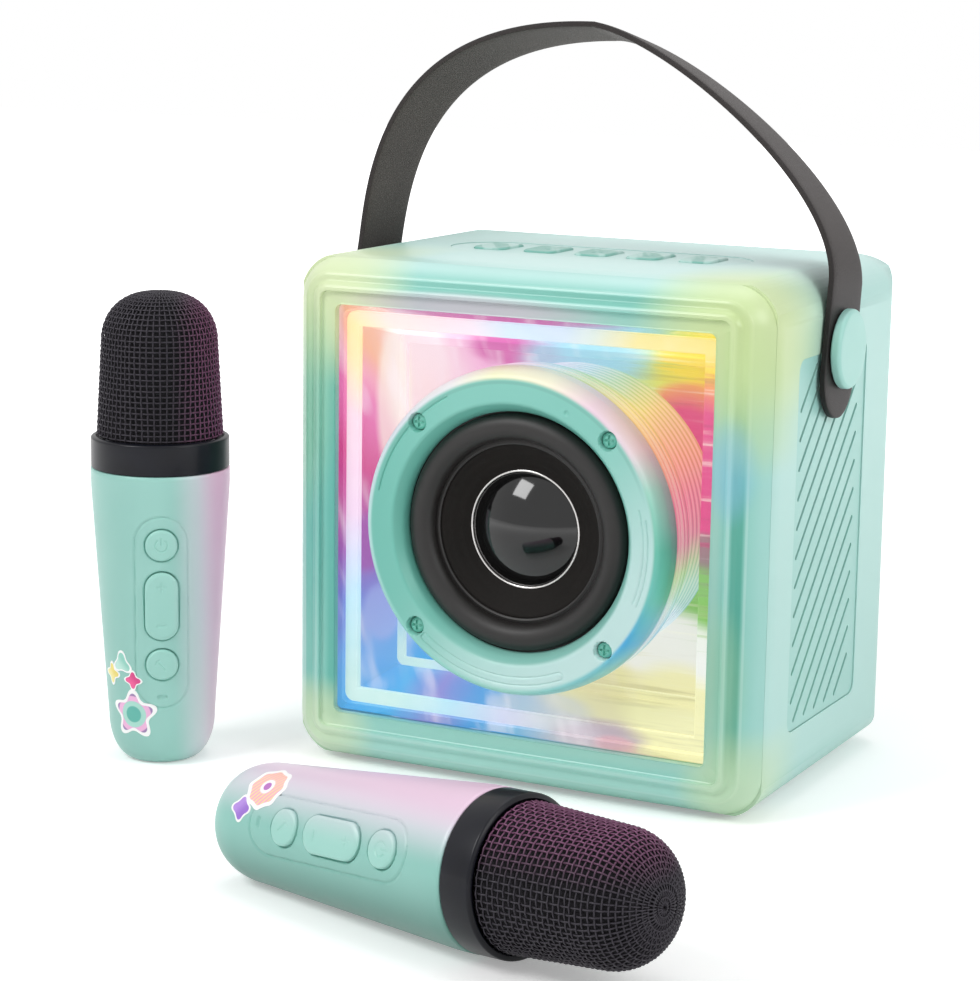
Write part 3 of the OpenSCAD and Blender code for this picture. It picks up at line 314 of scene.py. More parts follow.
def shell_finish(name):
    """Mint shell: paler on its top and sides, where the studio's white lies on it, as painted sheen;
    darker near the bottom as painted shade.
    """
    f, place, x, _, z = begun(name)
    grain, roughness = plastic_skin(f, place)
    colour = f.mix(f.noise(place, 22.0, 2.0), "a0d8cd", "93cfc3")
    # painted sheen on the sides and the top
    side = x.absolute().rise(70.0, 78.5)
    colour = f.mix(side * 0.85, colour, "b9e1db")
    top_sheen = z.rise(150.0, 159.5) * (0.45 + 0.45 * x.rise(-70.0, -20.0))
    colour = f.mix(top_sheen, colour, "cbeae6")
    # painted shade: darker near the bottom
    colour = f.mix((1 - z.rise(1.0, 16.0)) * 0.45, colour, "8fcabe")
    colour = glow_through(f, place, colour)
    return f.plastic(colour, roughness, grain)


def bezel_finish(name):
    """Mint bezel with painted light and shade: its map gives the angle round the edge in degrees over
    100, so that the hollow gets painted shade, the two ridge lines painted highlights, and the outer
    round the painted sheen that runs on from the shell. It is paler low down and darker at the very
    bottom edge, and its sunk band lighter on the right and darker at its left edge, all painted."""
    f, place, x, _, z = begun(name)
    grain, roughness = plastic_skin(f, place)
    turn = f.parts(f.node("UVMap", {"uv_map": "section"}))[0] * 100.0
    colour = f.mix(f.noise(place, 22.0, 2.0), "93d0c5", "8acabe")
    # painted sheen on the outer round and the top, a paler band low down as painted light, and painted
    # shade at the very bottom edge
    high = z.rise(146.0, 156.0)
    outer = 1 - turn.rise(30.0, 58.0)
    low = 1 - z.rise(2.0, 8.0)
    colour = f.mix(outer * 0.6 * (1 - low), colour, "aadcd5")
    colour = f.mix((1 - z.rise(8.0, 20.0)) * 0.5, colour, "b8e2d8")
    colour = f.mix(outer * high * 0.8, colour, "bfe4df")
    colour = f.mix(low * outer * 0.75, colour, "62b39d")
    # painted shade in the hollow, deepest on the right
    hollow = turn.bump_at(65.0, 5.0, 6.0) * (1 - high * 0.6)
    right = x.rise(-60.0, 60.0)
    hollow = hollow * (0.25 + 0.75 * right) * z.rise(6.0, 24.0)
    colour = f.mix(hollow * 0.95, colour, "50a896")
    # painted highlights on the two ridge lines
    ridge_highlight = turn.bump_at(54.0, 0.8, 1.6).most(turn.bump_at(76.5, 1.2, 1.8))
    colour = f.mix(ridge_highlight * 0.22, colour, "d2ece6")
    # the sunk band: painted light on its right, painted shade at its left edge
    band = turn.rise(88.0, 94.0)
    colour = f.mix(band * 0.6 * right, colour, "a6d2c4")
    colour = f.mix(band * 0.75 * (1 - x.rise(-62.0, -58.0)), colour, "4fae9f")
    colour = glow_through(f, place, colour)
    return f.plastic(colour, roughness - 0.06, grain)


# Patches of painted light and painted reflection in the chamber: colour, strength, middle and reach across
# and up, streakiness
FILM_PATCHES = [
    ("f9e4ea", 0.85, -36, 128, 10, 26, 0.0), ("fbf0e0", 0.6, -44, 118, 5, 24, 0.0),
    ("cf4fa2", 0.9, -2, 137, 15, 5, 0.2), ("c4529c", 0.8, -6, 147.5, 40, 5, 0.0),
    ("9fd3e4", 0.8, 22, 134, 22, 10, 0.4), ("8fcfd0", 0.6, 34, 122, 16, 10, 0.6),
    ("f3d52e", 0.95, 60, 137, 15, 9, 0.7), ("d9dc62", 0.7, 46, 128, 12, 7, 0.8),
    ("f09a4e", 0.9, 58, 127, 12, 5, 0.4), ("da2a78", 0.95, 56, 104, 19, 24, 0.0),
    ("f3a05c", 0.6, 44, 112, 6, 12, 0.3), ("84706e", 0.8, 61, 81, 12, 6, 0.7),
    ("7cbc52", 0.9, 57, 67, 16, 10, 0.9), ("f3f2ea", 0.9, 52, 49, 22, 11, 0.6),
    ("e9e2a8", 0.8, 28, 33, 20, 8, 0.3), ("f5efb4", 0.9, 56, 29, 18, 14, 0.2),
    ("b3a0ae", 0.75, 28, 22.5, 16, 4, 0.3), ("e8a8b0", 0.5, 34, 19.5, 7, 3, 0.2),
    ("c9ccd0", 0.6, 10, 27, 16, 5, 0.3), ("a5b0e6", 0.6, -47, 50, 6, 9, 0.0),
    ("9a8cd2", 0.7, -24, 38, 10, 4, 0.0), ("a04ba8", 0.8, -53, 72, 7, 9, 0.0)]


def film_colour(f, place):
    """Colours of the lit mirror film, and its streaks, all painted light: colours of the lights round
    the driver, patches of painted light laid over them, and level streaks of painted reflection on the
    right."""
    x, y, z = f.parts(place)
    wide, high = slanted(x, y, z)
    drift = f.noise(f.vector(wide / 24.0, high / 24.0, y / 60.0), 1.0, 2.0) - 0.5
    colour = round_colours(f, wide, high, FILM_STOPS, drift * 0.05)
    streak = f.noise(f.vector(wide * 0.016, y * 0.01, high * 0.42), 1.0, 3.0, 0.6)
    for code, amount, centre_x, centre_z, reach_x, reach_z, lines in FILM_PATCHES:
        mask = blob(wide, high, centre_x, centre_z, reach_x * 1.25, reach_z * 1.25)
        if lines:
            mask = mask * (1 - lines + lines * 2.0 * streak.rise(0.38, 0.62)).least(1.0)
        colour = f.mix((mask * 1.6).least(1.0) * amount, colour, code)
    # painted reflection: bright and dark level streaks on the right
    right = wide.rise(18.0, 50.0)
    colour = f.mix(streak.rise(0.55, 0.74) * right * 0.45, colour, "fdfbe6")
    colour = f.mix((1 - streak.rise(0.28, 0.46)) * right * 0.3, colour, "8f8a78", "MULTIPLY")
    # painted highlight: a pale veil on the left
    veil = f.noise(f.vector(wide / 9.0 + high / 30.0, high / 34.0, y / 40.0), 1.0, 2.0)
    colour = f.mix(veil.rise(0.52, 0.75) * (1 - right) * 0.4, colour, "fff4f8")
    return colour, streak


def chamber_finish(name, strength):
    """Mirror film with painted light: it glows with the colours of the lights beside it."""
    f = Finish(name)
    colour, streak = film_colour(f, f.place())
    return f.surface(f.mix(0.8, colour, "0c0c10"), 0.25, streak, 0.08, 0.0003,
                     emission_color=colour, emission_strength=strength)


def light_strip_finish(name, strength, part="whole"):
    """Milky light guide: pale colours round the frame, glowing. The front one fades into the film's
    painted colours below right, and the deep one, a painted reflection of the front one, shows below left
    only."""
    f, place, x, y, z = begun(name)
    wide, high = slanted(x, y, z)
    pale = round_colours(f, wide, high, STRIP_STOPS)
    soft = f.noise(place, 8.0, 2.0)
    pale = f.mix(soft * 0.3, pale, "fffaf6")
    if part != "whole":
        film, _ = film_colour(f, place)
        if part == "front":
            seen = 1 - wide.rise(2.0, 22.0) * (1 - high.rise(134.0, 141.0))
        else:
            seen = (1 - wide.rise(-36.0, 2.0)) * (1 - high.rise(36.0, 66.0))
        pale = f.mix(1 - seen, pale, film)
    return f.surface(f.mix(0.75, pale, "101014"), 0.35, soft, 0.05, 0.0002,
                     emission_color=pale, emission_strength=strength)


def can_finish(name):
    """Pale can with painted reflections of the lights in rings, and a painted glow: yellow and orange
    above right, mint and blue below right, with fine bright lines of painted highlight and dark lines of
    painted shade round it."""
    f, _, x, y, z = begun(name)
    stops = [(0.0, "c8e4e6"), (0.14, "9fd8e4"), (0.25, "a8e2ea"), (0.34, "86cfe0"), (0.40, "4fb4e6"),
             (0.44, "9adbe6"), (0.47, "a8dc9a"), (0.50, "d8588c"), (0.54, "e23c7c"), (0.58, "f4903c"),
             (0.64, "f6d84e"), (0.69, "a8d67c"), (0.73, "9fd6e2"), (0.78, "e3cfe8"), (0.86, "f4e6ee"),
             (1.0, "c8e4e6")]
    hue = round_colours(f, x, z, stops)
    rings = (y * 2.1).sine() * 0.5 + 0.5
    fine = (y * 5.3 + x * 0.05).sine() * 0.5 + 0.5
    # painted reflection in bright and pink ring lines, and painted shade in dark ones
    tone = f.mix(rings * 0.45, hue, "fdf6dc")
    tone = f.mix(fine * 0.3, tone, "f4a9b8")
    tone = f.mix((1 - rings.rise(0.0, 0.12)) * 0.45, tone, "7fae7a")
    return f.surface(f.mix(0.6, tone, "20282a"), 0.2, rings, 0.1, 0.0004,
                     emission_color=tone, emission_strength=0.62)


def ring_finish(name):
    """Mint ring with painted light and shade: paler below and to the right as painted light, darker to
    the left and round its opening as painted shade, and on its rim painted reflections: a warm light on
    its upper rim, pink to the upper right and blue to the lower right, where the lights catch its round
    side. A darker line runs round the upper part of its face."""
    f, place, x, _, z = begun(name)
    grain, roughness = plastic_skin(f, place)
    high = z - SPEAKER_Z
    reach = (x * x + high * high) ** 0.5
    colour = f.mix(f.noise(place, 24.0, 2.0), "86cbbe", "7ec5b7")
    # painted light below right, painted shade to the left and round the opening
    pale = (x * 0.7 - high * 0.8).rise(-12.0, 52.0)
    colour = f.mix(pale * 0.95, colour, "cfecea")
    colour = f.mix((1 - x.rise(-50.0, -16.0)) * 0.6, colour, "5fb5a5")
    inner = 1 - reach.rise(38.6, 40.4)
    colour = f.mix(inner * 0.7, colour, "69bcab")
    # painted reflections of the lights on the rim
    rim = reach.rise(46.3, 47.6)
    stops = [(0.0, "c4e6e6"), (0.12, "8fd4c8"), (0.25, "9fd8cc"), (0.36, "7fcfd8"), (0.40, "3fb0e8"),
             (0.45, "6cc8c0"), (0.50, "5fbfa8"), (0.56, "9fd6c4"), (0.60, "e9d6de"), (0.66, "f0d2e2"),
             (0.71, "fbf3d8"), (0.77, "f8f6cc"), (0.82, "f0eef0"), (0.9, "dfe6f0"), (1.0, "c4e6e6")]
    colour = f.mix(rim * 0.95, colour, round_colours(f, x, z, stops))
    # a darker line round the upper part of the face
    upper_dark_line = reach.bump_at(45.9, 0.2, 0.5) * (high.rise(10.0, 30.0))
    colour = f.mix(upper_dark_line * 0.35, colour, "6ea89a")
    return f.plastic(colour, roughness, grain)


def clear_finish(name):
    """Clear glossy panel: mostly seen through, with a mirror sheen that grows at a slant."""
    f = Finish(name)
    place = f.place()
    smear = f.noise(place, 26.0, 2.0)
    facing = f.node("LayerWeight", inputs={"Blend": 0.2}, output=1)
    sheen = f.node("BsdfGlossy", inputs={"Color": "f4fbff", "Roughness": 0.05})
    through = f.node("BsdfTransparent", inputs={"Color": "fdfeff"})
    share = 0.01 + facing * 0.08 + smear * 0.01
    return f.end(f.node("MixShader", inputs={0: share, 1: through, 2: sheen}))


def leather_finish(name):
    """Dark brown leather: fine pebble grain, paler inside, darker on its edges and lower down."""
    f, place, _, _, height = begun(name)
    cells = f.node("TexVoronoi", {"feature": "DISTANCE_TO_EDGE"}, {"Vector": place, "Scale": 1.15})
    creases = cells.rise(0.02, 0.32)
    grain = f.noise(place, 0.35, 4.0, 0.6)
    cloud = f.noise(place, 14.0, 3.0)
    edge = f.node("UVMap", {"uv_map": "across"})
    across, along, _ = f.parts(edge)
    inner = along.rise(0.45, 0.55)
    face = f.mix(cloud, "2e2725", "403938")
    back = f.mix(cloud, "4e4644", "5d544f")
    tone = f.mix(inner, face, back)
    tone = f.mix((1 - height.rise(148.0, 178.0)) * 0.7, tone, "1a1617")
    rim = (across - 0.5).absolute().rise(0.455, 0.5)
    tone = f.mix(rim * 0.8, tone, "151112")
    tone = f.mix((1 - creases) * 0.35, tone, "1c1817")
    roughness = 0.40 + 0.22 * grain + 0.1 * inner
    return f.surface(tone, roughness, creases * 0.7 + grain * 0.6, 0.45, 0.00012,
                     specular_ior_level=0.28)


def rubber_finish(name, first, second, roughness, size=0.5, shine=0.5):
    """Matt dark rubber or paper: fine grain and a cloudy tone."""
    f = Finish(name)
    place = f.place()
    grain = f.noise(place, size, 3.0)
    cloud = f.noise(place, 12.0, 2.0)
    tone = f.mix(cloud, first, second)
    return f.surface(tone, roughness + 0.12 * (grain - 0.5), grain, 0.25, 0.00008,
                     specular_ior_level=shine)


def gloss_finish(name, first, second, roughness=0.06, coat=0.35, shine=0.4):
    """Deep gloss with the faintest ripple, as on the dust cap and the collars."""
    f = Finish(name)
    place = f.place()
    ripple = f.noise(place, 7.0, 1.0)
    tone = f.mix(ripple, first, second)
    return f.surface(tone, roughness + 0.04 * ripple, ripple, 0.05, 0.0003,
                     coat_weight=coat, coat_roughness=0.06, specular_ior_level=shine)


def metal_finish(name, first, second, roughness, size=1.2):
    """Turned or plated metal: fine scratches in its roughness and tone."""
    f, _, x, y, z = begun(name)
    scratch = f.noise(f.vector(x * 3.0, y * 0.4, z * 3.0), size, 4.0)
    tone = f.mix(scratch, first, second)
    return f.surface(tone, roughness + 0.15 * scratch, scratch, 0.15, 0.00005, metallic=1.0)


def board_finish(name):
    """Circuit board: green mask over fine tracks and a scatter of bright pads."""
    f, place, x, _, z = begun(name)
    tracks = ((x + z) * 0.9).sine().rise(0.75, 0.95)
    dots = f.node("TexVoronoi", inputs={"Vector": place, "Scale": 0.4})
    pads = 1 - dots.rise(0.14, 0.2)
    tone = f.mix(f.noise(place, 8.0), "1d6a44", "2a7d52")
    tone = f.mix(tracks * 0.5, tone, "3c9468")
    tone = f.mix(pads, tone, "c9b26a")
    return f.surface(tone, 0.4 - 0.15 * pads, pads + tracks * 0.3, 0.2, 0.0001, metallic=pads * 0.8)


def wrap_finish(name):
    """Shrink wrap on the cells: blue film with soft wrinkles."""
    f, _, x, y, z = begun(name)
    wrinkle = f.noise(f.vector(x * 0.2, y, z), 4.0, 3.0)
    tone = f.mix(wrinkle, "2b56a8", "3f6fc4")
    return f.surface(tone, 0.25 + 0.15 * wrinkle, wrinkle, 0.3, 0.0003)


def cloth_finish(name, first, second):
    """Treated cloth: threads crossing over and under, a quarter of a millimetre apart."""
    f, place, x, _, z = begun(name)
    weave = (x * 12.0).sine() * (z * 12.0).sine()
    fuzz = f.noise(place, 0.6, 2.0)
    tone = f.mix(weave * 0.5 + 0.5, first, second)
    return f.surface(tone, 0.75 + 0.1 * fuzz, weave + fuzz * 0.5, 0.3, 0.0001)


def mic_finish(name, place_matrix, pink_light_angle, base, shade, pink):
    """Soft mint lacquer on a microphone with painted light by angle round its axis: painted shade on one
    side, and a painted lilac and pink reflection of the pink lights along the other.
    """
    f = Finish(name)
    place = f.place()
    local = local_place(f, place, place_matrix)
    x, y, _ = f.parts(local)
    grain, roughness = plastic_skin(f, place)
    angle = math.radians(pink_light_angle)
    side = x * (math.cos(angle) / 21.0) + y * (math.sin(angle) / 21.0)
    colour = f.mix(f.noise(place, 18.0, 2.0) * 0.3, base, "7fbab0")
    # painted shade on the side away from the pink light
    colour = f.mix((0.0 - side).rise(-0.25, 0.7) * shade, colour, "4f8175")
    # painted reflection of the pink lights: lilac, then pink
    colour = f.mix(side.rise(0.22, 0.80) * 0.8, colour, "e2d6e4")
    colour = f.mix(side.rise(0.60, 0.95) * pink, colour, "ecb6d6")
    return f.surface(colour, roughness, grain, 0.1, 0.00004, specular_ior_level=0.5,
                     coat_weight=0.1, coat_roughness=0.35)


def local_place(finish, place, matrix):
    """The place in a microphone's own frame, in millimetres: three dot products with its axes."""
    origin = [matrix[i][3] for i in range(3)]
    moved = finish.node("VectorMath", {"operation": "SUBTRACT"}, {0: place, 1: origin})
    numbers = []
    for column in range(3):
        axis = [matrix[row][column] for row in range(3)]
        dot = finish.node("VectorMath", {"operation": "DOT_PRODUCT"}, {0: moved, 1: axis}, 1)
        numbers.append(dot)
    return finish.vector(*numbers)


def wire_finish(name, matrix, pink_side_angle):
    """Dark plated wire with a painted purple sheen on the side where the light is pink."""
    f = Finish(name)
    place = f.place()
    x, y, _ = f.parts(local_place(f, place, matrix))
    angle = math.radians(pink_side_angle)
    side = x * (math.cos(angle) / 19.0) + y * (math.sin(angle) / 19.0)
    wear = f.noise(place, 1.2, 3.0)
    tone = f.mix(wear, "211e25", "38343c")
    # painted reflection of the pink light
    tone = f.mix(side.rise(0.25, 0.95) * 0.5, tone, "8d4f78")
    return f.surface(tone, 0.38 + 0.15 * wear, wear, 0.1, 0.00005, metallic=0.45)


def foam_finish(name):
    """Black open foam behind the wires."""
    f = Finish(name)
    place = f.place()
    pores = f.node("TexVoronoi", inputs={"Vector": place, "Scale": 1.6})
    tone = f.mix(pores.rise(0.1, 0.6), "050506", "17151b")
    return f.surface(tone, 0.9, pores, 0.6, 0.0004)


def sticker_finish(name, kind):
    """Printed sticker on its own flat map: white edge, then bands of colour by distance."""
    f = Finish(name)
    across = f.node("UVMap", {"uv_map": "print"})
    u, v, _ = f.parts(across)
    edge = f.parts(f.node("UVMap", {"uv_map": "edge"}))[0]
    fibre = f.noise(f.place(), 0.5, 2.0)
    reach = (u * u + v * v) ** 0.5
    if kind == "bands":
        tone = f.node("ValToRGB", {"stops": [(0.0, "5fb5a8"), (0.30, "5fb5a8"), (0.34, "a9dccf"),
                                             (0.50, "a9dccf"), (0.54, "efb6dc"), (0.70, "efb6dc"),
                                             (0.74, "9d7fb0"), (1.0, "9d7fb0")]}, {0: reach})
    elif kind == "stripes":
        wave = ((u * 0.8 + v) * 5.0).fraction().rise(0.45, 0.55)
        tone = f.mix(wave, "f6a9c8", "fbd9a0")
        tone = f.mix(1 - reach.rise(0.30, 0.36), tone, "fdf4f7")
        tone = f.mix(1 - reach.rise(0.16, 0.20), tone, "b86fc0")
    else:
        tone = f.mix((u + v).rise(-0.6, 0.6), kind[0], kind[1])
    tone = f.mix(edge.rise(0.80, 0.84), tone, "fbfafa")
    return f.surface(tone, 0.28 + 0.05 * fibre, fibre, 0.05, 0.00003)


def floor_finish(name):
    """White floor that keeps the object's shadow; far off it is brighter to the camera and to
    mirrors, so that it runs into the white surround."""
    f, place, x, y, _ = begun(name)
    seen = f.node("LightPath", output=0).most(f.node("LightPath", output=3))
    far = ((x * x + y * y) ** 0.5).rise(260.0, 900.0)
    speck = f.noise(place, 30.0, 2.0)
    tone = f.mix(speck, "f7f7f7", "f9f9f9")
    body = f.node("BsdfDiffuse", inputs={"Color": tone})
    lift = (0.30 + far * 0.75) * seen
    glow = f.node("Emission", inputs={"Color": (1.0, 1.0, 1.0, 1.0), "Strength": lift})
    return f.end(f.node("AddShader", inputs={0: body, 1: glow}))


# Meshes

def circle_angles(count):
    """Evenly spaced angles once round a circle."""
    return np.linspace(0, math.tau, count, endpoint=False)


def new_mesh(name, points, faces):
    """Mesh from points in millimetres and faces."""
    mesh = bpy.data.meshes.new(name)
    mesh.from_pydata((np.asarray(points, float).reshape(-1, 3) * MM).tolist(), [], faces.tolist())
    return mesh


def tidy_mesh(mesh, sharp=35.0, merge=1e-7):
    """Merges doubles, drops flat faces, turns faces outward and shades smooth up to an angle."""
    work = bmesh.new()
    work.from_mesh(mesh)
    bmesh.ops.remove_doubles(work, verts=work.verts, dist=merge)
    bmesh.ops.dissolve_degenerate(work, edges=work.edges, dist=merge)
    bmesh.ops.recalc_face_normals(work, faces=work.faces)
    work.to_mesh(mesh)
    work.free()
    mesh.polygons.foreach_set("use_smooth", np.ones(len(mesh.polygons), bool))
    mesh.set_sharp_from_angle(angle=math.radians(sharp))
    return mesh


def grid_faces(rows, columns, close_rows=False, close_columns=False, start=0):
    """Faces of a grid of points, numbered row by row; a closed way wraps round to its start."""
    index = np.arange(rows * columns).reshape(rows, columns) + start
    if close_rows:
        index = np.vstack([index, index[:1]])
    if close_columns:
        index = np.hstack([index, index[:, :1]])
    corners = index[:-1, :-1], index[:-1, 1:], index[1:, 1:], index[1:, :-1]
    return np.stack(corners, -1).reshape(-1, 4)


def grid_mesh(name, grid, close_rows=False, close_columns=False, sharp=35.0):
    """Mesh of one grid of points, rows by columns."""
    rows, columns = grid.shape[:2]
    mesh = new_mesh(name, grid, grid_faces(rows, columns, close_rows, close_columns))
    return tidy_mesh(mesh, sharp)


def turned(name, profile, columns=128, close=True, sharp=35.0):
    """Turns a profile of (radius, y) round the driver's axis: x = r cos t, z = r sin t."""
    profile = np.asarray(profile, float)
    t = circle_angles(columns)
    r, y = profile[:, :1], profile[:, 1:]
    grid = np.stack([r * np.cos(t), y + 0 * t, SPEAKER_Z + r * np.sin(t)], -1)
    return grid_mesh(name, grid, close, True, sharp)


def spun(rows, t):
    """Turns a profile of (radius, height) round a microphone's own axis through the angles t."""
    rows = np.asarray(rows, float)
    return np.stack([rows[:, :1] * np.cos(t), rows[:, :1] * np.sin(t), rows[:, 1:] + 0 * t], -1)


def rounded(points, radius=0.5, steps=4):
    """A closed outline whose corners are cut by short curves: each corner becomes a quadratic
    curve between points one radius before and after it."""
    points = np.asarray(points, float)
    before = np.roll(points, 1, 0) - points
    after = np.roll(points, -1, 0) - points
    long_a = np.linalg.norm(before, axis=1, keepdims=True)
    long_b = np.linalg.norm(after, axis=1, keepdims=True)
    start = points + before / long_a * np.minimum(radius, long_a * 0.45)
    stop = points + after / long_b * np.minimum(radius, long_b * 0.45)
    t = np.linspace(0, 1, steps + 1)[None, :, None]
    curve = (1 - t) ** 2 * start[:, None] + 2 * t * (1 - t) * points[:, None] + t ** 2 * stop[:, None]
    return curve.reshape(-1, 2)


def piece(name, mesh, material, body, slot, *nodes):
    """Puts a mesh into the scene on a body; the CAD nodes it stands for are then not shown."""
    made = bpy.data.objects.new(name, mesh)
    bpy.context.scene.collection.objects.link(made)
    mesh.materials.clear()
    mesh.materials.append(material)
    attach(made, body)
    if nodes:
        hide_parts(*nodes)
    return made


def merged_copy(node, name, material, body, slot, bevel=0.0, sharp=30.0):
    """Smooth copy of a CAD node: its loose triangles are joined, and where a small bevel is asked for,
    its flat faces become one and its edges get the bevel."""
    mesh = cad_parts[node].data.copy()
    work = bmesh.new()
    work.from_mesh(mesh)
    bmesh.ops.remove_doubles(work, verts=work.verts, dist=2e-6)
    if bevel:
        bmesh.ops.dissolve_limit(work, angle_limit=math.radians(0.6), verts=work.verts,
                                 edges=work.edges)
    work.to_mesh(mesh)
    work.free()
    mesh.name = name
    mesh.polygons.foreach_set("use_smooth", np.ones(len(mesh.polygons), bool))
    mesh.set_sharp_from_angle(angle=math.radians(sharp))
    made = piece(name, mesh, material, body, slot, node)
    if bevel:
        soft = made.modifiers.new("soft edges", "BEVEL")
        soft.width = bevel * MM
        soft.segments = 2
        soft.limit_method = "ANGLE"
        soft.angle_limit = math.radians(40)
        soft.use_clamp_overlap = True
    return made


# Camera, lamps and floor

def make_camera():
    """Camera to the right of the front and a little above, with a long lens."""
    turn, rise, roll = (math.radians(a) for a in (26.828, 10.814, 0.879))
    back = np.array([math.sin(turn) * math.cos(rise), -math.cos(turn) * math.cos(rise), math.sin(rise)])
    level = np.array([math.cos(turn), math.sin(turn), 0.0])
    over = np.cross(back, level)
    right = math.cos(roll) * level + math.sin(roll) * over
    up = -math.sin(roll) * level + math.cos(roll) * over
    place = np.array([355.52, -777.76, 247.27]) * MM
    data = bpy.data.cameras.new("camera")
    data.lens = 100.83
    data.sensor_width = 36.0
    camera = bpy.data.objects.new("camera", data)
    bpy.context.scene.collection.objects.link(camera)
    matrix = np.eye(4)
    matrix[:3, 0], matrix[:3, 1], matrix[:3, 2], matrix[:3, 3] = right, up, back, place
    camera.matrix_world = Matrix(matrix.tolist())
    bpy.context.scene.camera = camera


def area_lamp(name, place, target, size, watts):
    """Square soft lamp that looks at a target; places in metres."""
    data = bpy.data.lights.new(name, "AREA")
    data.shape = "SQUARE"
    data.size = size
    data.energy = watts
    lamp = bpy.data.objects.new(name, data)
    bpy.context.scene.collection.objects.link(lamp)
    way = (Matrix.Translation(target).translation - Matrix.Translation(place).translation)
    lamp.matrix_world = Matrix.Translation(place) @ way.to_track_quat("-Z", "Y").to_matrix().to_4x4()


def make_light():
    """Even pale surround, white to the camera and in gloss, with soft lamps above and beside."""
    scene = bpy.context.scene
    scene.view_settings.view_transform = "Standard"
    world = bpy.data.worlds.new("studio")
    scene.world = world
    world.use_nodes = True
    tree = world.node_tree
    tree.nodes.clear()
    path = tree.nodes.new("ShaderNodeLightPath")
    shown = tree.nodes.new("ShaderNodeMath")
    shown.operation = "MAXIMUM"
    tree.links.new(path.outputs["Is Camera Ray"], shown.inputs[0])
    tree.links.new(path.outputs["Is Glossy Ray"], shown.inputs[1])
    level = tree.nodes.new("ShaderNodeMapRange")
    level.inputs["To Min"].default_value = 0.50
    level.inputs["To Max"].default_value = 1.0
    tree.links.new(shown.outputs[0], level.inputs["Value"])
    sky = tree.nodes.new("ShaderNodeBackground")
    sky.inputs["Color"].default_value = (1.0, 1.0, 1.0, 1.0)
    tree.links.new(level.outputs["Result"], sky.inputs["Strength"])
    output = tree.nodes.new("ShaderNodeOutputWorld")
    tree.links.new(sky.outputs[0], output.inputs["Surface"])
    area_lamp("key lamp", (-0.55, -0.95, 1.0), (0.0, -0.03, 0.08), 0.5, 8.0)
    area_lamp("side lamp", (1.1, -0.25, 0.65), (0.0, 0.0, 0.08), 0.6, 4.0)
    area_lamp("top lamp", (0.0, 0.15, 1.2), (0.0, 0.0, 0.1), 0.8, 3.0)


def make_floor():
    """Wide level floor under the pad and the microphones."""
    reach = np.array([-3000.0, 3000.0])
    x, y = np.meshgrid(reach, reach)
    mesh = new_mesh("floor", np.stack([x, y, 0 * x], -1), grid_faces(2, 2))
    floor = bpy.data.objects.new("floor", mesh)
    bpy.context.scene.collection.objects.link(floor)
    mesh.materials.append(floor_finish("floor white"))


# Cabinet

def corner_outline(half_w, half_h, radius, clip, steps=14):
    """Outline of a rectangle with round corners, held inside clip's half sizes: each corner's
    arc is cut where it would pass them, as where rounded edges of the block meet."""
    quarter = np.linspace(0, math.pi / 2, steps)
    arc_x = np.minimum(half_w - radius + radius * np.cos(quarter), clip[0])
    arc_z = np.minimum(half_h - radius + radius * np.sin(quarter), clip[1])
    x = np.concatenate([arc_x, -arc_x[::-1], -arc_x, arc_x[::-1]])
    z = np.concatenate([arc_z, arc_z[::-1], -arc_z, -arc_z[::-1]])
    return x, z


def frame_section(inset, y, radius, turn):
    """One ring of the bezel: the outline drawn in by inset, at a depth. The middle rises by 1 mm
    on the way in, because the window stands that much above the block's middle."""
    share = np.clip(inset / (SIDE_X - WINDOW_HALF[0]), 0, 1)
    half = SIDE_X - inset, HALF_H - inset * (HALF_H - WINDOW_HALF[1]) / (SIDE_X - WINDOW_HALF[0])
    x, z = corner_outline(*half, radius, half)
    return np.stack([x, 0 * x + y, z + MID_Z + share * (WINDOW_Z - MID_Z)], -1)


def bezel_profile():
    """The bezel's section from the parting line to the window: a round edge with a ridge at 54
    degrees, a hollow up to 74 and a rim at 77, then the sunk band and the seat of the panel. The
    corner's radius shrinks with the cosine, as on a ball. Each row is inset, depth, radius, turn."""
    angle = np.radians(np.concatenate([np.linspace(21.5, 50, 9), np.linspace(51, 80, 30)]))
    degrees = np.degrees(angle)
    lift = 0.12 * np.exp(-((degrees - 54) / 1.4) ** 2) + 0.15 * np.exp(-((degrees - 76.5) / 1.6) ** 2)
    hollow = np.clip((degrees - 56) / (74 - 56), 0, 1)
    reach = EDGE_R + lift - 0.8 * np.sin(math.pi * hollow) ** 2
    rows = [(EDGE_R - r * math.cos(a), FRONT_Y + EDGE_R - r * math.sin(a),
             max(EDGE_R * math.cos(a), 2.5), math.degrees(a)) for a, r in zip(angle, reach)]
    rows = [(1.9, SPLIT_Y + 0.1, 12.6, 19), (1.5, SPLIT_Y - 0.2, 12.8, 20)] + rows
    rows += [(11.75, -58.75, 2.6, 84), (11.9, -58.5, 2.5, 85), (12.0, -57.5, 2.5, 86),
             (12.3, -57.3, 2.5, 88), (15.9, -57.12, 2.2, 96), (16.25, -57.2, 2.1, 97),
             (16.5, -57.4, 2.0, 98), (16.5, LIP_Y, 2.0, 99), (13.0, LIP_Y, 2.0, 99),
             (13.0, -52.0, 2.0, 99), (7.0, -52.0, 4.0, 99), (4.0, SPLIT_Y, 6.0, 99),
             (2.2, SPLIT_Y, 11.0, 99)]
    return rows


def keep_map(mesh, name, values):
    """Writes a UV map from one pair of numbers per point."""
    loops = np.zeros(len(mesh.loops), np.int64)
    mesh.loops.foreach_get("vertex_index", loops)
    layer = mesh.uv_layers.new(name=name)
    layer.data.foreach_set("uv", values.reshape(-1, 2)[loops].astype(np.float32).ravel())


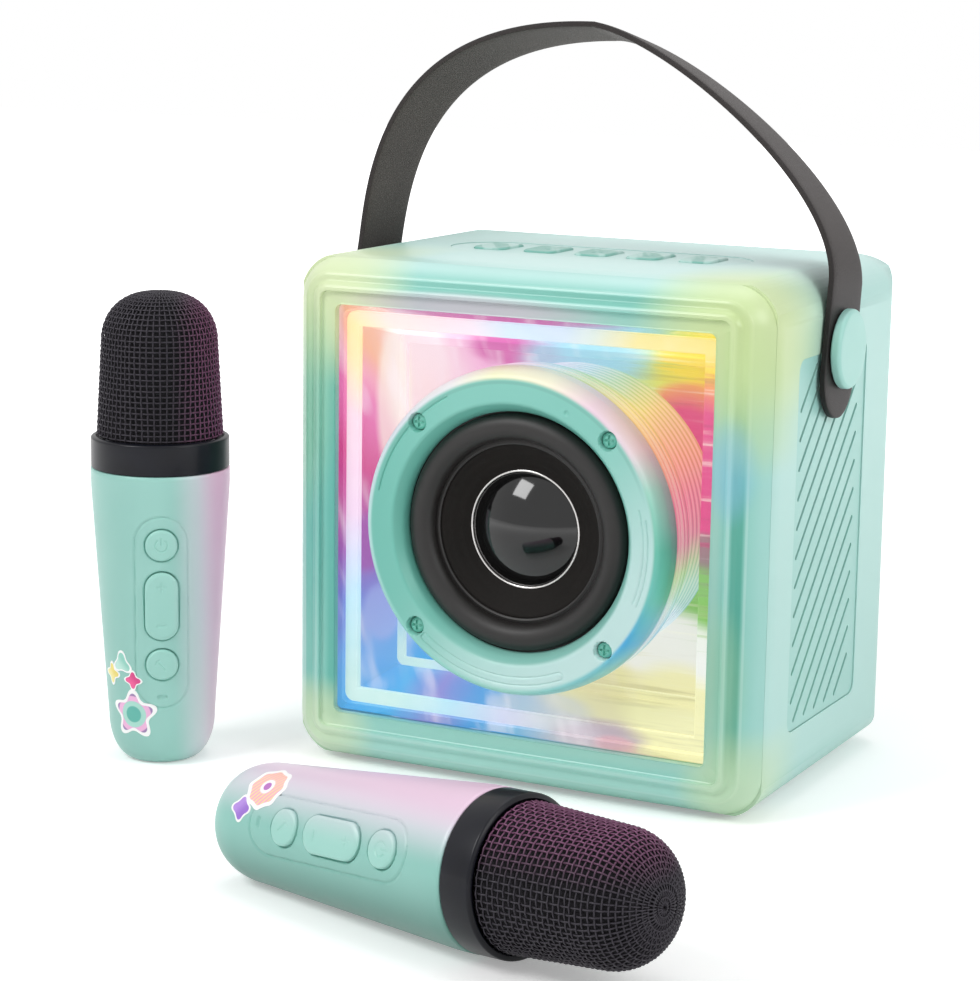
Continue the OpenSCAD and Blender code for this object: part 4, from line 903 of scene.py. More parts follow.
def make_bezel(material):
    """The bezel as rings of its section, each a rectangle with round corners."""
    rows = bezel_profile()
    grid = np.array([frame_section(*row) for row in rows])
    mesh = new_mesh("bezel", grid, grid_faces(*grid.shape[:2], True, True))
    turn = np.array([row[3] for row in rows])[:, None] / 100 + 0 * grid[..., 0]
    keep_map(mesh, "section", np.stack([turn, turn], -1))
    tidy_mesh(mesh, 28.0)
    return piece("bezel", mesh, material, "cabinet", "mint_shell", "front_bezel")


def make_chamber(wall_finish, strip_finish, reflected_strip_finish):
    """The lit chamber: a straight wall box, a tapered reflector, and two light strips: the front one, and a
    deep one that is the front one's painted reflection in the mirror.
    """
    def section(half_x, half_z, y, radius):
        x, z = corner_outline(half_x, half_z, radius, (half_x, half_z))
        return np.stack([x, 0 * x + y, z + WINDOW_Z], -1)

    box = [(64, 64, -53, 2), (64, 64, MIRROR_Y, 2), (62, 62, MIRROR_Y, 2), (62, 62, -49.0, 2),
           (62, 62, -53, 2)]
    walls = np.array([section(*row) for row in box])
    mesh = grid_mesh("chamber", walls, True, True)
    piece("chamber", mesh, wall_finish, "cabinet", "mirror_film", "chamber_walls")
    taper = [(56.9, 56.9, -49.8, 0.6), (55.6, 55.6, -44.5, 0.6), (52.8, 52.8, -34.0, 0.8),
             (53.6, 53.6, -33.8, 1.5), (56.6, 56.6, -44.2, 1.2), (57.8, 57.8, -49.6, 1.0)]
    mesh = grid_mesh("reflector", np.array([section(*row) for row in taper]), True, True)
    piece("reflector", mesh, wall_finish, "cabinet", "mirror_film")
    # the deep strip is a painted reflection of the front strip, made as a second glowing strip
    for name, outer, inner, y, thick, finish in (
            ("light_strip", 61.6, 57.0, -52.0, 1.9, strip_finish),
            ("reflected_light_strip", 53.2, 50.3, -33.8, 1.4, reflected_strip_finish)):
        rows = [(outer - 0.3, y, 3.0), (outer, y + 0.4, 3.0), (outer, y + thick, 3.0),
                (inner, y + thick, 0.4), (inner, y + 0.3, 0.4), (inner + 0.3, y, 0.4)]
        grid = np.array([section(a, a, b, r) for a, b, r in rows])
        made = piece(name, grid_mesh(name, grid, True, True), finish, "cabinet", "light_bar")
        if name == "light_strip":
            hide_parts("light_frame")


# Driver

def ring_radial():
    """Profile of the ring from its opening over its face to the can: slope, face, round side."""
    side = np.linspace(0, math.pi / 2, 18)
    round_side = np.stack([RING_FACE_R + (CAN_R - RING_FACE_R) * np.sin(side),
                           RING_BACK_Y + (RING_Y - RING_BACK_Y) * np.cos(side)], -1)
    slope = [(MOUTH_R + 0.1, -56.0), (MOUTH_R + 0.1, -56.6), (MOUTH_R + 0.3, -57.0),
             (MOUTH_R + 2.7, -61.4), (MOUTH_R + 3.2, -61.85), (MOUTH_R + 3.8, RING_Y)]
    radii = np.arange(40.7, RING_FACE_R - 0.1, 0.27)
    face = np.stack([radii, 0 * radii + RING_Y], -1)
    return np.vstack([slope, face, round_side])


def ring_depth(t, r, x, z):
    """How deep the ring's face is pushed in: four screw wells, one small hole, and engraved lines,
    each an arc between two angles with a soft groove across."""
    depth = 0 * r
    well_r, well_depth, groove, groove_half = 2.95, 2.9, 0.4, 0.34
    for i in range(4):
        a = math.radians(45 + 90 * i)
        away = np.hypot(x - SCREW_R * math.cos(a), z - SCREW_R * math.sin(a))
        depth = np.maximum(depth, well_depth * np.clip((well_r - away) / 0.4, 0, 1))
    away = np.hypot(x - 18.0, z - 38.4)
    depth = np.maximum(depth, groove * np.clip((0.85 - away) / 0.3, 0, 1))
    degrees = np.degrees(t)[None, :] + 0 * r
    closed_slot = (231.0, 293.0)
    for radius, start, stop in ((43.2, *closed_slot), (45.6, *closed_slot), (43.6, 338, 376),
                                (45.0, 338, 372), (45.3, 118, 168)):
        turn = degrees + 360.0 * (degrees < start - 180)
        across = np.clip(1 - np.abs(r - radius) / groove_half, 0, 1)
        depth = np.maximum(depth, groove * across * ((turn > start) & (turn < stop)))
    for end in closed_slot:
        a = math.radians(end)
        away = np.hypot(x - 44.4 * math.cos(a), z - 44.4 * math.sin(a))
        outside = (degrees > closed_slot[1]) | (degrees < closed_slot[0])
        depth = np.maximum(depth, groove * outside * np.clip(1 - np.abs(away - 1.2) / groove_half, 0, 1))
    return depth


def make_ring(material):
    """The ring as a turned surface whose face is pushed in at the screws and engraved lines."""
    profile = ring_radial()
    t = circle_angles(960)
    r = profile[:, :1] + 0 * t
    y = profile[:, 1:] + 0 * t
    x = r * np.cos(t)
    z = r * np.sin(t)
    on_face = (r > MOUTH_R + 3.5) & (y < RING_Y + 4.0)
    grid = np.stack([x, y + ring_depth(t, r, x, z) * on_face, SPEAKER_Z + z], -1)
    back = np.array([(CAN_R - 2.5, RING_BACK_Y), (CAN_R - 2.5, -54.1), (43.2, -54.1), (43.2, -55.4)])
    rear = np.stack([back[:, :1] * np.cos(t), back[:, 1:] + 0 * t, SPEAKER_Z + back[:, :1] * np.sin(t)], -1)
    mesh = grid_mesh("ring", np.concatenate([grid, rear]), True, True, sharp=50.0)
    return piece("ring", mesh, material, "cabinet", "mint_shell", "speaker_ring")


def make_ring_screws(material):
    """Four crowned screw heads low in their wells. Each is rings of a circle whose height drops at
    the rim and into a cross: the cross is two slots, by distance to their middle lines."""
    a = circle_angles(64)
    head_r, slot_half, slot_reach = 2.3, 0.42, 1.6
    share = np.concatenate([[1.0, 1.0], np.linspace(0.99, 0.0, 26)])[:, None]
    u = head_r * share * np.cos(a)
    v = head_r * share * np.sin(a)
    bar = np.minimum(np.abs(u), np.abs(v))
    long = np.maximum(np.abs(u), np.abs(v))
    cross = np.clip((slot_half - bar) / 0.16, 0, 1) * np.clip((slot_reach - long) / 0.2, 0, 1)
    high = 1.9 - 0.5 * share ** 4 - 0.7 * cross
    high[0] = 0.0
    grids = []
    for i in range(4):
        turn = math.radians(45 + 90 * i)
        grids.append(np.stack([SCREW_R * math.cos(turn) + u, RING_Y + 3.2 - high,
                               SPEAKER_Z + SCREW_R * math.sin(turn) + v], -1))
    rows, columns = grids[0].shape[:2]
    faces = [grid_faces(rows, columns, False, True, i * rows * columns) for i in range(4)]
    mesh = tidy_mesh(new_mesh("ring_screw_heads", np.concatenate(grids), np.vstack(faces)), 40.0)
    piece("ring_screw_heads", mesh, material, "cabinet", "mint_shell", "ring_screws")


def make_can(material):
    """Can behind the ring: three stepped beads, a shoulder and a tube back to the mirror."""
    rows = [(47.6, -53.7), (49.4, -51.9), (49.9, -51.6)]
    for base_y, radius in ((-51.4, 49.7), (-47.6, 49.5), (-43.8, 49.3)):
        bead = np.linspace(0, math.pi, 7)
        rows += [(radius + 0.35 * math.sin(a), base_y + 3.0 * (1 - math.cos(a)) / 2) for a in bead]
    rows += [(49.0, -40.2), (48.0, -39.2), (46.8, -38.6), (46.2, -38.0), (46.0, -37.0)]
    rows += [(46.0, MIRROR_Y), (44.0, MIRROR_Y), (44.0, -42.0), (47.0, -42.0), (47.0, -49.6),
             (39.0, -49.6), (39.0, -53.9)]
    return piece("can", turned("can", rows, 192), material, "cabinet", "pale_mint", "speaker_can")


def make_driver(rubber, paper, gloss, bright):
    """Roll, cone and dust cap as turned surfaces, with the small steps and beads of the real ones."""
    roll_mid, roll_r, land = 32.1, 4.1, -55.5
    a = np.linspace(math.pi, 0, 33)
    bulge = np.stack([roll_mid + roll_r * np.cos(a), land - roll_r * np.sin(a)], -1)
    inner = np.stack([roll_mid + (roll_r - 0.6) * np.cos(a[::-1]),
                      land + 0.6 - roll_r * np.sin(a[::-1])], -1)
    rows = np.vstack([[(26.5, land), (27.0, land - 0.25), (27.6, land - 0.1)], bulge,
                      [(37.5, land - 0.1), (39.5, land), (39.5, land + 0.6), (36.6, land + 0.6)], inner,
                      [(27.6, land + 0.6), (26.5, land + 0.6)]])
    piece("roll", turned("roll", rows, 160), rubber, "cabinet", "roll_rubber", "surround")
    cone_r = np.linspace(27.6, 9.6, 40)
    rise = (28.0 - cone_r) * 0.5125
    ripple = 0.10 * np.sin((cone_r - 9.6) * 2.2) * (cone_r > 19.5)
    top = np.stack([cone_r, land + 0.62 + np.clip(rise - 1.2, 0, None) * 1.02 + ripple * 0.6], -1)
    under = np.stack([cone_r[::-1], top[::-1, 1] + 0.7], -1)
    piece("cone_paper", turned("cone_paper", np.vstack([top, under]), 160), paper, "driver_cone",
          "cone_paper", "cone")
    base, height, radius = -50.85, 6.5, 17.5
    sphere = (radius ** 2 + height ** 2) / (2 * height)
    r = radius * np.sin(np.linspace(0, math.pi / 2, 28))
    dome = np.stack([r, base - (np.sqrt(sphere ** 2 - r ** 2) - (sphere - height))], -1)
    inside = dome[::-1] + [0.0, 0.6]
    cap = turned("cap", np.vstack([dome, inside]), 128, close=False)
    piece("cap", cap, gloss, "driver_cone", "dust_cap_gloss", "dust_cap")
    t = circle_angles(12)
    bead = np.stack([17.9 + 0.42 * np.cos(t), -50.95 + 0.42 * np.sin(t)], -1)
    piece("cap_ring", turned("cap_ring", bead, 128), bright, "driver_cone", "dust_cap_gloss")


# Strap

def curve_points(p, t):
    """Points of a cubic curve through four control points at the parameters t."""
    t = t[:, None]
    return ((1 - t) ** 3 * p[0] + 3 * (1 - t) ** 2 * t * p[1] + 3 * (1 - t) * t ** 2 * p[2]
            + t ** 3 * p[3])


def strap_path():
    """Middle line of the strap from the right tip over the arch to the left tip, and the roll of
    the strap at each point, which runs evenly from one tab's lean over the crown to the other's."""
    lean_right, lean_left, crown_roll = np.radians([LEAN_RIGHT, LEAN_LEFT, CROWN_ROLL])
    right_dir = np.array([0, math.sin(lean_right), math.cos(lean_right)])
    left_dir = np.array([0, math.sin(lean_left), math.cos(lean_left)])
    right_stud = np.array([STRAP_X, STUD_Y, STUD_Z])
    left_stud = np.array([-STRAP_X, STUD_Y, STUD_Z])
    crown = np.array([-9.5, 19.0, 227.5])
    crown_dir = np.array([1.0, 0.15, 0.0]) / math.hypot(1.0, 0.15)
    right = [right_stud + TAB_END * right_dir, right_stud + RIGHT_AIM * right_dir,
             crown + CROWN_RIGHT * crown_dir, crown]
    left = [left_stud + TAB_END * left_dir, left_stud + LEFT_AIM * left_dir,
            crown - CROWN_LEFT * crown_dir, crown]
    t = np.linspace(0, 1, 90)
    tip = TIP_REACH * (1 - np.cos(np.linspace(0, math.pi / 2, 22)))
    down = np.concatenate([tip - TIP_REACH, np.linspace(1.0, TAB_END - 1.0, 14)])
    points = np.vstack([right_stud + down[:, None] * right_dir, curve_points(right, t),
                        curve_points(left, t)[::-1][1:], (left_stud + down[:, None] * left_dir)[::-1]])
    roll = np.concatenate([0 * down + lean_right, lean_right + (crown_roll - lean_right) * t,
                           crown_roll + (lean_left - crown_roll) * t[1:], 0 * down + lean_left])
    return points, roll


def make_strap(material):
    """A flat ribbon carried along the path: its width lies across the path, as near as it can to
    the depth direction turned down by the roll; its tips are round, its edges firm."""
    path, roll = strap_path()
    ahead = np.gradient(path, axis=0)
    ahead /= np.linalg.norm(ahead, axis=1, keepdims=True)
    depth = np.stack([0 * roll, np.cos(roll), -np.sin(roll)], -1)
    across = depth - np.sum(ahead * depth, axis=1, keepdims=True) * ahead
    across /= np.linalg.norm(across, axis=1, keepdims=True)
    out = np.cross(ahead, across)
    run = np.concatenate([[0], np.cumsum(np.linalg.norm(np.diff(path, axis=0), axis=1))])
    to_end = np.minimum(run, run[-1] - run)
    half = STRAP_W / 2
    width = np.where(to_end < half, np.sqrt(np.clip(half ** 2 - (half - to_end) ** 2, 1e-4, None)), half)
    a = circle_angles(48)
    flat = np.sign(np.cos(a)) * np.abs(np.cos(a)) ** 0.35
    thick = np.sign(np.sin(a)) * np.abs(np.sin(a)) ** 0.45
    edge = (width[:, None] - 0.9) * np.clip(flat * 1.04, -1, 1) + 0.9 * flat
    edge = np.clip(edge, -width[:, None], width[:, None])
    swell = thick * (STRAP_T / 2) * np.clip(width / 3.0, 0.25, 1.0)[:, None]
    grid = (path[:, None] + edge[..., None] * across[:, None] + swell[..., None] * out[:, None])
    rows, columns = grid.shape[:2]
    faces = grid_faces(rows, columns, False, True)
    mesh = new_mesh("strap_leather", grid, faces)
    u = (flat[None, :] * 0.5 + 0.5) + 0 * width[:, None]
    v = np.where(thick > 0, 1.0, 0.0)[None, :] + 0 * width[:, None]
    keep_map(mesh, "across", np.stack([u, v], -1))
    tidy_mesh(mesh, 40.0, merge=2e-6)
    return piece("strap_leather", mesh, material, "strap", "leather", "strap")


def make_studs(material):
    """Both studs: a neck through the strap and a thick cap with a soft edge and a crowned face."""
    edge = np.linspace(0, math.pi / 2, 8)
    rim = [(12.0 - 1.3 + 1.3 * math.cos(a), 83.7 + 1.3 * math.sin(a)) for a in edge]
    crown = [(r, 85.0) for r in (9.0, 6.0, 3.0, 0.0)]
    rows = [(0.0, 76.2), (6.0, 76.2), (6.0, 81.9), (11.6, 81.9), (12.0, 82.3)] + rim + crown
    rows = np.array(rows)
    t = circle_angles(96)
    grids = []
    for side in (1, -1):
        grid = np.stack([side * rows[:, 1:] + 0 * t, STUD_Y + rows[:, :1] * np.cos(t),
                         STUD_Z + rows[:, :1] * np.sin(t)], -1)
        grids.append(grid)
    count, columns = grids[0].shape[:2]
    faces = np.vstack([grid_faces(count, columns, False, True),
                       grid_faces(count, columns, False, True, count * columns)])
    mesh = tidy_mesh(new_mesh("studs", np.concatenate(grids), faces))
    return piece("studs", mesh, material, "cabinet", "mint_shell", "strap_studs")


# Keys of the top strip

TOP_KEY_HALF, TOP_KEY_ROUND, TOP_KEY_DISH = (5.5, 8.5), 2.6, 0.35


def make_top_key(number, kind, material):
    """A key of the top strip: rings of a round-cornered outline with its sign, hollowed across by
    a shallow dish whose depth falls with the square of the distance from the middle."""
    node = f"top_key_{number}"
    low, high = (np.array(c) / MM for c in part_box(node))
    centre = (low + high) / 2
    x, z = corner_outline(*TOP_KEY_HALF, TOP_KEY_ROUND, TOP_KEY_HALF, 20)
    flat = button_grid(np.stack([x, z], -1), high[2] - 5.0, high[2] - 0.1, 0.0, kind)
    hollow = np.clip(1 - (flat[..., 0] / 5.0) ** 2, 0, 1) * (flat[..., 2] > high[2] - 1.0)
    local = flat + [centre[0], centre[1], 0.0]
    local[..., 2] -= TOP_KEY_DISH * hollow
    mesh = grid_mesh(f"key_cap_{number}", local, False, True, sharp=50.0)
    piece(f"key_cap_{number}", mesh, material, node, "pale_mint", node)


# Microphones

MIC_R, TAIL_R, END_R, TAIL_L, BODY_L = 21.5, 16.6, 9.0, 14.0, 93.0
COLLAR_TOP, MIC_L = 102.5, 147.5
POWER_Z, ROCKER_Z, EFFECT_Z, PANEL_Z = 71.7, 52.4, 33.6, 50.05
KEY_R, ROCKER_L, ROCKER_W = 4.9, 21.5, 10.2
PANEL_L, PANEL_W, PANEL_GROOVE = 61.0, 16.4, 0.42
TAPER = (MIC_R - TAIL_R) / (BODY_L - 5 - TAIL_L)


def turn_z(angle):
    return Matrix.Rotation(math.radians(angle), 4, "Z")


MIC_PLACES = {
    "mic_a": Matrix.Translation((-115.7, -73.5, 0.0)) @ turn_z(34.0),
    "mic_b": Matrix.Translation((-32.3, -158.0, 15.6387)) @ turn_z(-14.8)
    @ Matrix.Rotation(math.radians(90.0 - 3.788), 4, "Y") @ turn_z(-19.0),
}


def placed(points, matrix):
    """Points of a microphone's own frame moved to their place in the scene."""
    m = np.array(matrix)
    return points @ m[:3, :3].T + m[:3, 3]


def mic_radius(z):
    """Radius of the body at a height: an elliptical tail, then a straight taper to the collar."""
    tail = END_R + (TAIL_R - END_R) * np.sqrt(np.clip(1 - (1 - z / TAIL_L) ** 2, 0, 1))
    taper = TAIL_R + TAPER * (z - TAIL_L)
    return np.where(z < TAIL_L, tail, np.minimum(MIC_R, taper))


def stadium_gap(u, v, length, width):
    """Distance outside a stadium outline that is long in v; negative inside."""
    over = np.abs(v) - (length - width) / 2
    return np.hypot(u, np.clip(over, 0, None)) - width / 2


def mic_body(mic, matrix, material):
    """The body as a turned surface with its keys' side pushed in at the panel's groove and keys."""
    z = np.concatenate([TAIL_L * (1 - np.cos(np.linspace(0, math.pi / 2, 16))),
                        np.arange(15.0, 18.0, 1.0), np.arange(18.2, 82.0, 0.33),
                        np.arange(82.5, BODY_L - 0.3, 1.5), [BODY_L - 0.25]])
    fine = np.arange(-10.2, 10.25, 0.3) / 19.0
    rest = np.linspace(fine[-1], math.tau + fine[0], 74)[1:-1]
    t = np.concatenate([fine, rest]) - math.pi / 2
    radius = mic_radius(z)[:, None] + 0 * t
    u = radius * np.cos(t)
    facing = np.sin(t)[None, :] < -0.3
    v = z[:, None] + 0 * t
    panel_edge = np.abs(stadium_gap(u, v - PANEL_Z, PANEL_L, PANEL_W))
    depth = 0.45 * np.clip(1 - panel_edge / PANEL_GROOVE, 0, 1)
    for key_z in (POWER_Z, EFFECT_Z):
        away = np.hypot(u, v - key_z) - KEY_R
        depth = np.maximum(depth, 1.3 * np.clip((0.45 - away) / 0.3, 0, 1))
    away = stadium_gap(u, v - ROCKER_Z, ROCKER_L, ROCKER_W)
    depth = np.maximum(depth, 1.3 * np.clip((0.45 - away) / 0.3, 0, 1))
    slot = np.hypot(np.clip(np.abs(u) - 0.9, 0, None), v - 23.0) - 0.6
    depth = np.maximum(depth, 0.6 * np.clip((0.15 - slot) / 0.3, 0, 1))
    radius = radius - depth * facing
    grid = np.stack([radius * np.cos(t), radius * np.sin(t), v], -1)
    foot = [(0.0, 3.0), (END_R - 1.4, 3.0), (END_R - 1.4, 0.0)]
    mouth = [(MIC_R - 0.3, BODY_L), (MIC_R - 2.0, BODY_L), (MIC_R - 2.0, BODY_L - 6), (0.0, BODY_L - 6)]
    grid = np.concatenate([spun(foot, t), grid, spun(mouth, t)])
    mesh = grid_mesh(mic + "_body", placed(grid, matrix), False, True, sharp=60.0)
    piece(mic + "_body", mesh, material, mic, "mic_mint", mic + "_shell", mic + "_panel")


# Signs on the keys: the ends of each stroke, across and up
SIGNS = {
    "power": [(0, 0.4, 0, 2.3)],
    "wave": [(-1.6, 1.2, 0.9, -1.5), (-1.9, 0.4, -0.9, 1.6)],
    "plus_minus": [(-1.3, 6.2, 1.3, 6.2), (0, 4.9, 0, 7.5), (-1.3, -6.2, 1.3, -6.2)],
    "play": [(-1.6, -1.8, -1.6, 1.8), (-1.6, 1.8, 1.8, 0), (-1.6, -1.8, 1.8, 0)],
    "plus": [(-1.7, 0, 1.7, 0), (0, -1.7, 0, 1.7)],
    "minus": [(-1.7, 0, 1.7, 0)],
    "next": [(-1.2, -1.8, 1.2, 0), (-1.2, 1.8, 1.2, 0), (1.9, -1.8, 1.9, 1.8)],
    "back": [(1.2, -1.8, -1.2, 0), (1.2, 1.8, -1.2, 0), (-1.9, -1.8, -1.9, 1.8)],
}
SIGN_LINE = 0.36


def icon_depth(kind, u, v):
    """Depth mask of a key's engraved sign, by distance to its strokes; power has an open ring."""
    away = np.full(np.shape(u), 9.0)
    for x0, y0, x1, y1 in SIGNS[kind]:
        d = np.array([x1 - x0, y1 - y0])
        s = np.clip(((u - x0) * d[0] + (v - y0) * d[1]) / (d @ d), 0, 1)
        away = np.minimum(away, np.hypot(u - x0 - s * d[0], v - y0 - s * d[1]))
    if kind == "power":
        open_part = np.abs(np.arctan2(u, v)) > 0.6
        away = np.minimum(away, np.where(open_part, np.abs(np.hypot(u, v) - 1.9), 9.0))
    return np.clip(1 - away / SIGN_LINE, 0, 1)


def button_grid(outline, back, top, dome, kind):
    """A button as rings of a plane outline: the outline shrinks from the skirt to the middle, its
    height follows a crown, and the sign is pressed into it. Rows are rings; columns go round."""
    share = np.concatenate([np.linspace(0.0, 0.86, 26), [0.91, 0.95, 0.98, 1.0]])[::-1]
    u = share[:, None] * outline[:, 0]
    v = share[:, None] * outline[:, 1]
    edge = np.clip((share[:, None] - 0.86) / 0.14, 0, 1)
    high = top + dome * (1 - share[:, None] ** 2) - 0.45 * edge ** 2.2
    high = high - 0.28 * icon_depth(kind, u, v)
    skirt = np.stack([outline[:, 0], outline[:, 1], 0 * outline[:, 0] + back], -1)[None]
    centre = np.zeros((1, len(outline), 3)) + [0, 0, back]
    return np.concatenate([centre, skirt, np.stack([u, v, high + 0 * u], -1)])


def stadium_outline(length, width, steps=40):
    """Points round a stadium that is long in v: two half circles joined by straight sides."""
    a = np.linspace(0, math.pi, steps)
    arc = np.stack([width / 2 * np.cos(a), width / 2 * np.sin(a) + (length - width) / 2], -1)
    if length - width < 0.01:
        return np.vstack([arc[:-1], -arc[:-1]])
    side = np.linspace(1, -1, 24)[1:-1] * (length - width) / 2
    left = np.stack([0 * side - width / 2, side], -1)
    return np.vstack([arc, left, -arc, -left])


def mic_keys(mic, matrix, material):
    """Two round keys and the rocker, each crowned and engraved, standing on the keys' side."""
    circle = stadium_outline(2 * KEY_R, 2 * KEY_R - 1e-3)
    rocker = stadium_outline(ROCKER_L, ROCKER_W)
    for name, key_z, outline, kind, proud in (
            ("power_key", POWER_Z, circle, "power", 0.55), ("effect_key", EFFECT_Z, circle, "wave", 0.55),
            ("rocker", ROCKER_Z, rocker, "plus_minus", 0.75)):
        skin = float(mic_radius(np.array(key_z)))
        flat = button_grid(outline, skin - 2.2, skin + proud, 0.15, kind)
        local = np.stack([flat[..., 0], -flat[..., 2] - TAPER * flat[..., 1], flat[..., 1] + key_z], -1)
        mesh = grid_mesh(mic + "_" + name, placed(local, matrix), False, True, sharp=50.0)
        piece(mic + "_" + name + "_cap", mesh, material, mic + "_" + name, "pale_mint", mic + "_" + name)


def grille_path(rows):
    """Barrel and dome of the grille: radius, height and outward tilt at even steps of length."""
    a = np.linspace(0, math.pi / 2, 400)
    dome_r = 18.2 * np.cos(a) ** 0.75
    dome_z = 132.5 + 15.0 * np.sin(a)
    z = np.linspace(COLLAR_TOP, 132.5, 200)[:-1]
    barrel = 19.8 + (18.2 - 19.8) * (z - COLLAR_TOP) / (132.5 - COLLAR_TOP)
    r = np.concatenate([barrel, dome_r])
    h = np.concatenate([z, dome_z])
    run = np.concatenate([[0], np.cumsum(np.hypot(np.diff(r), np.diff(h)))])
    s = rows * run[-1]
    tilt = np.arctan2(np.interp(s, run, np.gradient(h, run)), -np.interp(s, run, np.gradient(r, run)))
    return np.interp(s, run, r), np.interp(s, run, h), tilt


def tube_grid(points, radius, sides=5, closed=False):
    """A round wire along points: at each point a small polygon square to the path. The first and
    last polygons of an open wire shrink to close it."""
    if closed:
        ahead = np.roll(points, -1, -2) - np.roll(points, 1, -2)
    else:
        ahead = np.gradient(points, axis=-2)
    ahead = ahead / np.linalg.norm(ahead, axis=-1, keepdims=True)
    middle = np.array([0.0, 0.0, 110.0])
    out = points - middle
    out = out - (out * ahead).sum(-1, keepdims=True) * ahead
    out = out / np.linalg.norm(out, axis=-1, keepdims=True)
    side = np.cross(ahead, out)
    a = circle_angles(sides)
    thick = np.full(points.shape[-2], radius)
    if not closed:
        thick[[0, -1]] = radius * 0.02
    ring = (np.cos(a)[:, None] * out[..., None, :] + np.sin(a)[:, None] * side[..., None, :])
    return points[..., None, :] + thick[:, None, None] * ring


def mic_grille(mic, matrix, wire, foam):
    """Woven grille: upright wires that weave over and under rings, on the barrel and the dome."""
    uprights, rings, wave, thin = 64, 33, 0.20, 0.27
    levels = (np.arange(rings) + 0.6) / (rings + 0.35)
    meshes = []
    for stride, phase, reach in ((4, 0, 0.985), (4, 2, 0.955), (2, 1, 0.90)):
        k = np.arange(phase, uprights, stride)
        s = np.linspace(0.004, reach, 2 * rings + 1)
        r, h, tilt = grille_path(s)
        level = s * (rings + 0.35) - 0.6
        sway = 0.055 * np.sin(s * math.pi) ** 2
        theta = math.tau * k[:, None] / uprights + sway * np.sin(4 * math.tau * k[:, None] / uprights)
        over = wave * np.cos(math.pi * (level[None, :] + k[:, None]))
        rr = r - 0.55 + over * np.sin(tilt)
        hh = h - 0.30 * (s > 0.5) + over * np.cos(tilt)
        points = np.stack([rr * np.cos(theta), rr * np.sin(theta), hh + 0 * theta], -1)
        meshes.append((tube_grid(points, thin), False))
    around = np.arange(2 * uprights)
    r, h, tilt = grille_path(levels)
    j = np.arange(rings)
    theta = math.tau * around / (2 * uprights)
    over = -wave * np.cos(math.pi * (around[None, :] / 2 + j[:, None]))
    rr = r[:, None] - 0.55 + over * np.sin(tilt)[:, None]
    hh = h[:, None] - 0.30 * (levels > 0.5)[:, None] + over * np.cos(tilt)[:, None]
    sway = 0.055 * np.sin(levels * math.pi)[:, None] ** 2 * np.sin(4 * theta)
    points = np.stack([rr * np.cos(theta + sway), rr * np.sin(theta + sway), hh], -1)
    meshes.append((tube_grid(points, thin, closed=True), True))
    vertices, faces, start = [], [], 0
    for grids, closed in meshes:
        for grid in grids:
            rows, columns = grid.shape[:2]
            vertices.append(grid.reshape(-1, 3))
            faces.append(grid_faces(rows, columns, closed, True, start))
            start += rows * columns
    points = placed(np.vstack(vertices), matrix)
    mesh = new_mesh(mic + "_wires", points, np.vstack(faces))
    tidy_mesh(mesh, 80.0, merge=1e-8)
    piece(mic + "_wires", mesh, wire, mic, "mic_mesh", mic + "_grille")
    r, h, tilt = grille_path(np.linspace(0.0, 1.0, 60))
    rows = np.stack([np.clip(r - 1.5, 0, None), np.minimum(h, MIC_L - 1.6)], -1)
    rows = np.vstack([[(0.0, COLLAR_TOP - 0.5)], rows, [(0.0, MIC_L - 1.6)]])
    t = circle_angles(64)
    mesh = grid_mesh(mic + "_foam", placed(spun(rows, t), matrix), False, True)
    piece(mic + "_foam", mesh, foam, mic, "mic_mesh")


def mic_collar(mic, matrix, material):
    """Glossy collar with soft edges and a lip round the foot of the grille."""
    outline = [(17.6, 93.1), (21.4, 93.1), (21.4, COLLAR_TOP), (19.9, 103.1), (19.3, 102.0), (17.6, 101.0)]
    rows = rounded(outline, 0.5)
    t = circle_angles(128)
    mesh = grid_mesh(mic + "_collar_ring", placed(spun(rows, t), matrix), True, True)
    piece(mic + "_collar_ring", mesh, material, mic, "mic_collar", mic + "_collar")


def sticker(name, mic, matrix, angle, height, outline, material):
    """A printed sticker that hugs the body: its flat outline is filled with rings, and each point
    goes round the axis by its width over the radius. Two maps keep its flat place and edge."""
    share = np.linspace(1.0, 0.0, 12)
    u = share[:, None] * outline[:, 0]
    v = share[:, None] * outline[:, 1]
    rise = np.full(u.shape, 0.14)
    u = np.vstack([u[:1], u])
    v = np.vstack([v[:1], v])
    rise = np.vstack([np.full((1, len(outline)), -0.1), rise])
    z = height + v
    radius = mic_radius(z)
    theta = math.radians(angle) + u / radius
    local = np.stack([(radius + rise) * np.cos(theta), (radius + rise) * np.sin(theta), z], -1)
    rows, columns = u.shape
    mesh = new_mesh(name, placed(local, matrix), grid_faces(rows, columns, False, True))
    size = np.abs(outline).max()
    reach = np.concatenate([[1.0], share])[:, None] + 0 * u
    keep_map(mesh, "print", np.stack([u, v], -1) / size)
    keep_map(mesh, "edge", np.stack([reach, reach], -1))
    tidy_mesh(mesh, 60.0, merge=1e-8)
    piece(name, mesh, material, mic, "mic_mint")


def star_outline(points, outer, inner, steps=16):
    """Star with soft tips: the radius swings between inner and outer round the middle."""
    a = circle_angles(points * steps)
    wave = (0.5 + 0.5 * np.cos(points * a)) ** 1.3
    r = inner + (outer - inner) * wave
    return np.stack([r * np.sin(a), r * np.cos(a)], -1)


# The whole

make_camera()
make_light()
make_floor()

mint = shell_finish("mint shell")
mint_bezel = bezel_finish("mint bezel")
mint_key = key_finish("mint keys")
# the key strip on the top takes the pale tone of the shell's top: painted sheen from above
mint_strip = mint_plastic("mint key strip", base="c6e8e3", deep="bde3dd")
mint_grille = mint_plastic("mint grille", base="a8d9d1", deep="9dd2c9")
stud_mint = mint_plastic("mint studs", base="a9dcd3", deep="9dd4ca")
ring_mint = ring_finish("mint ring")
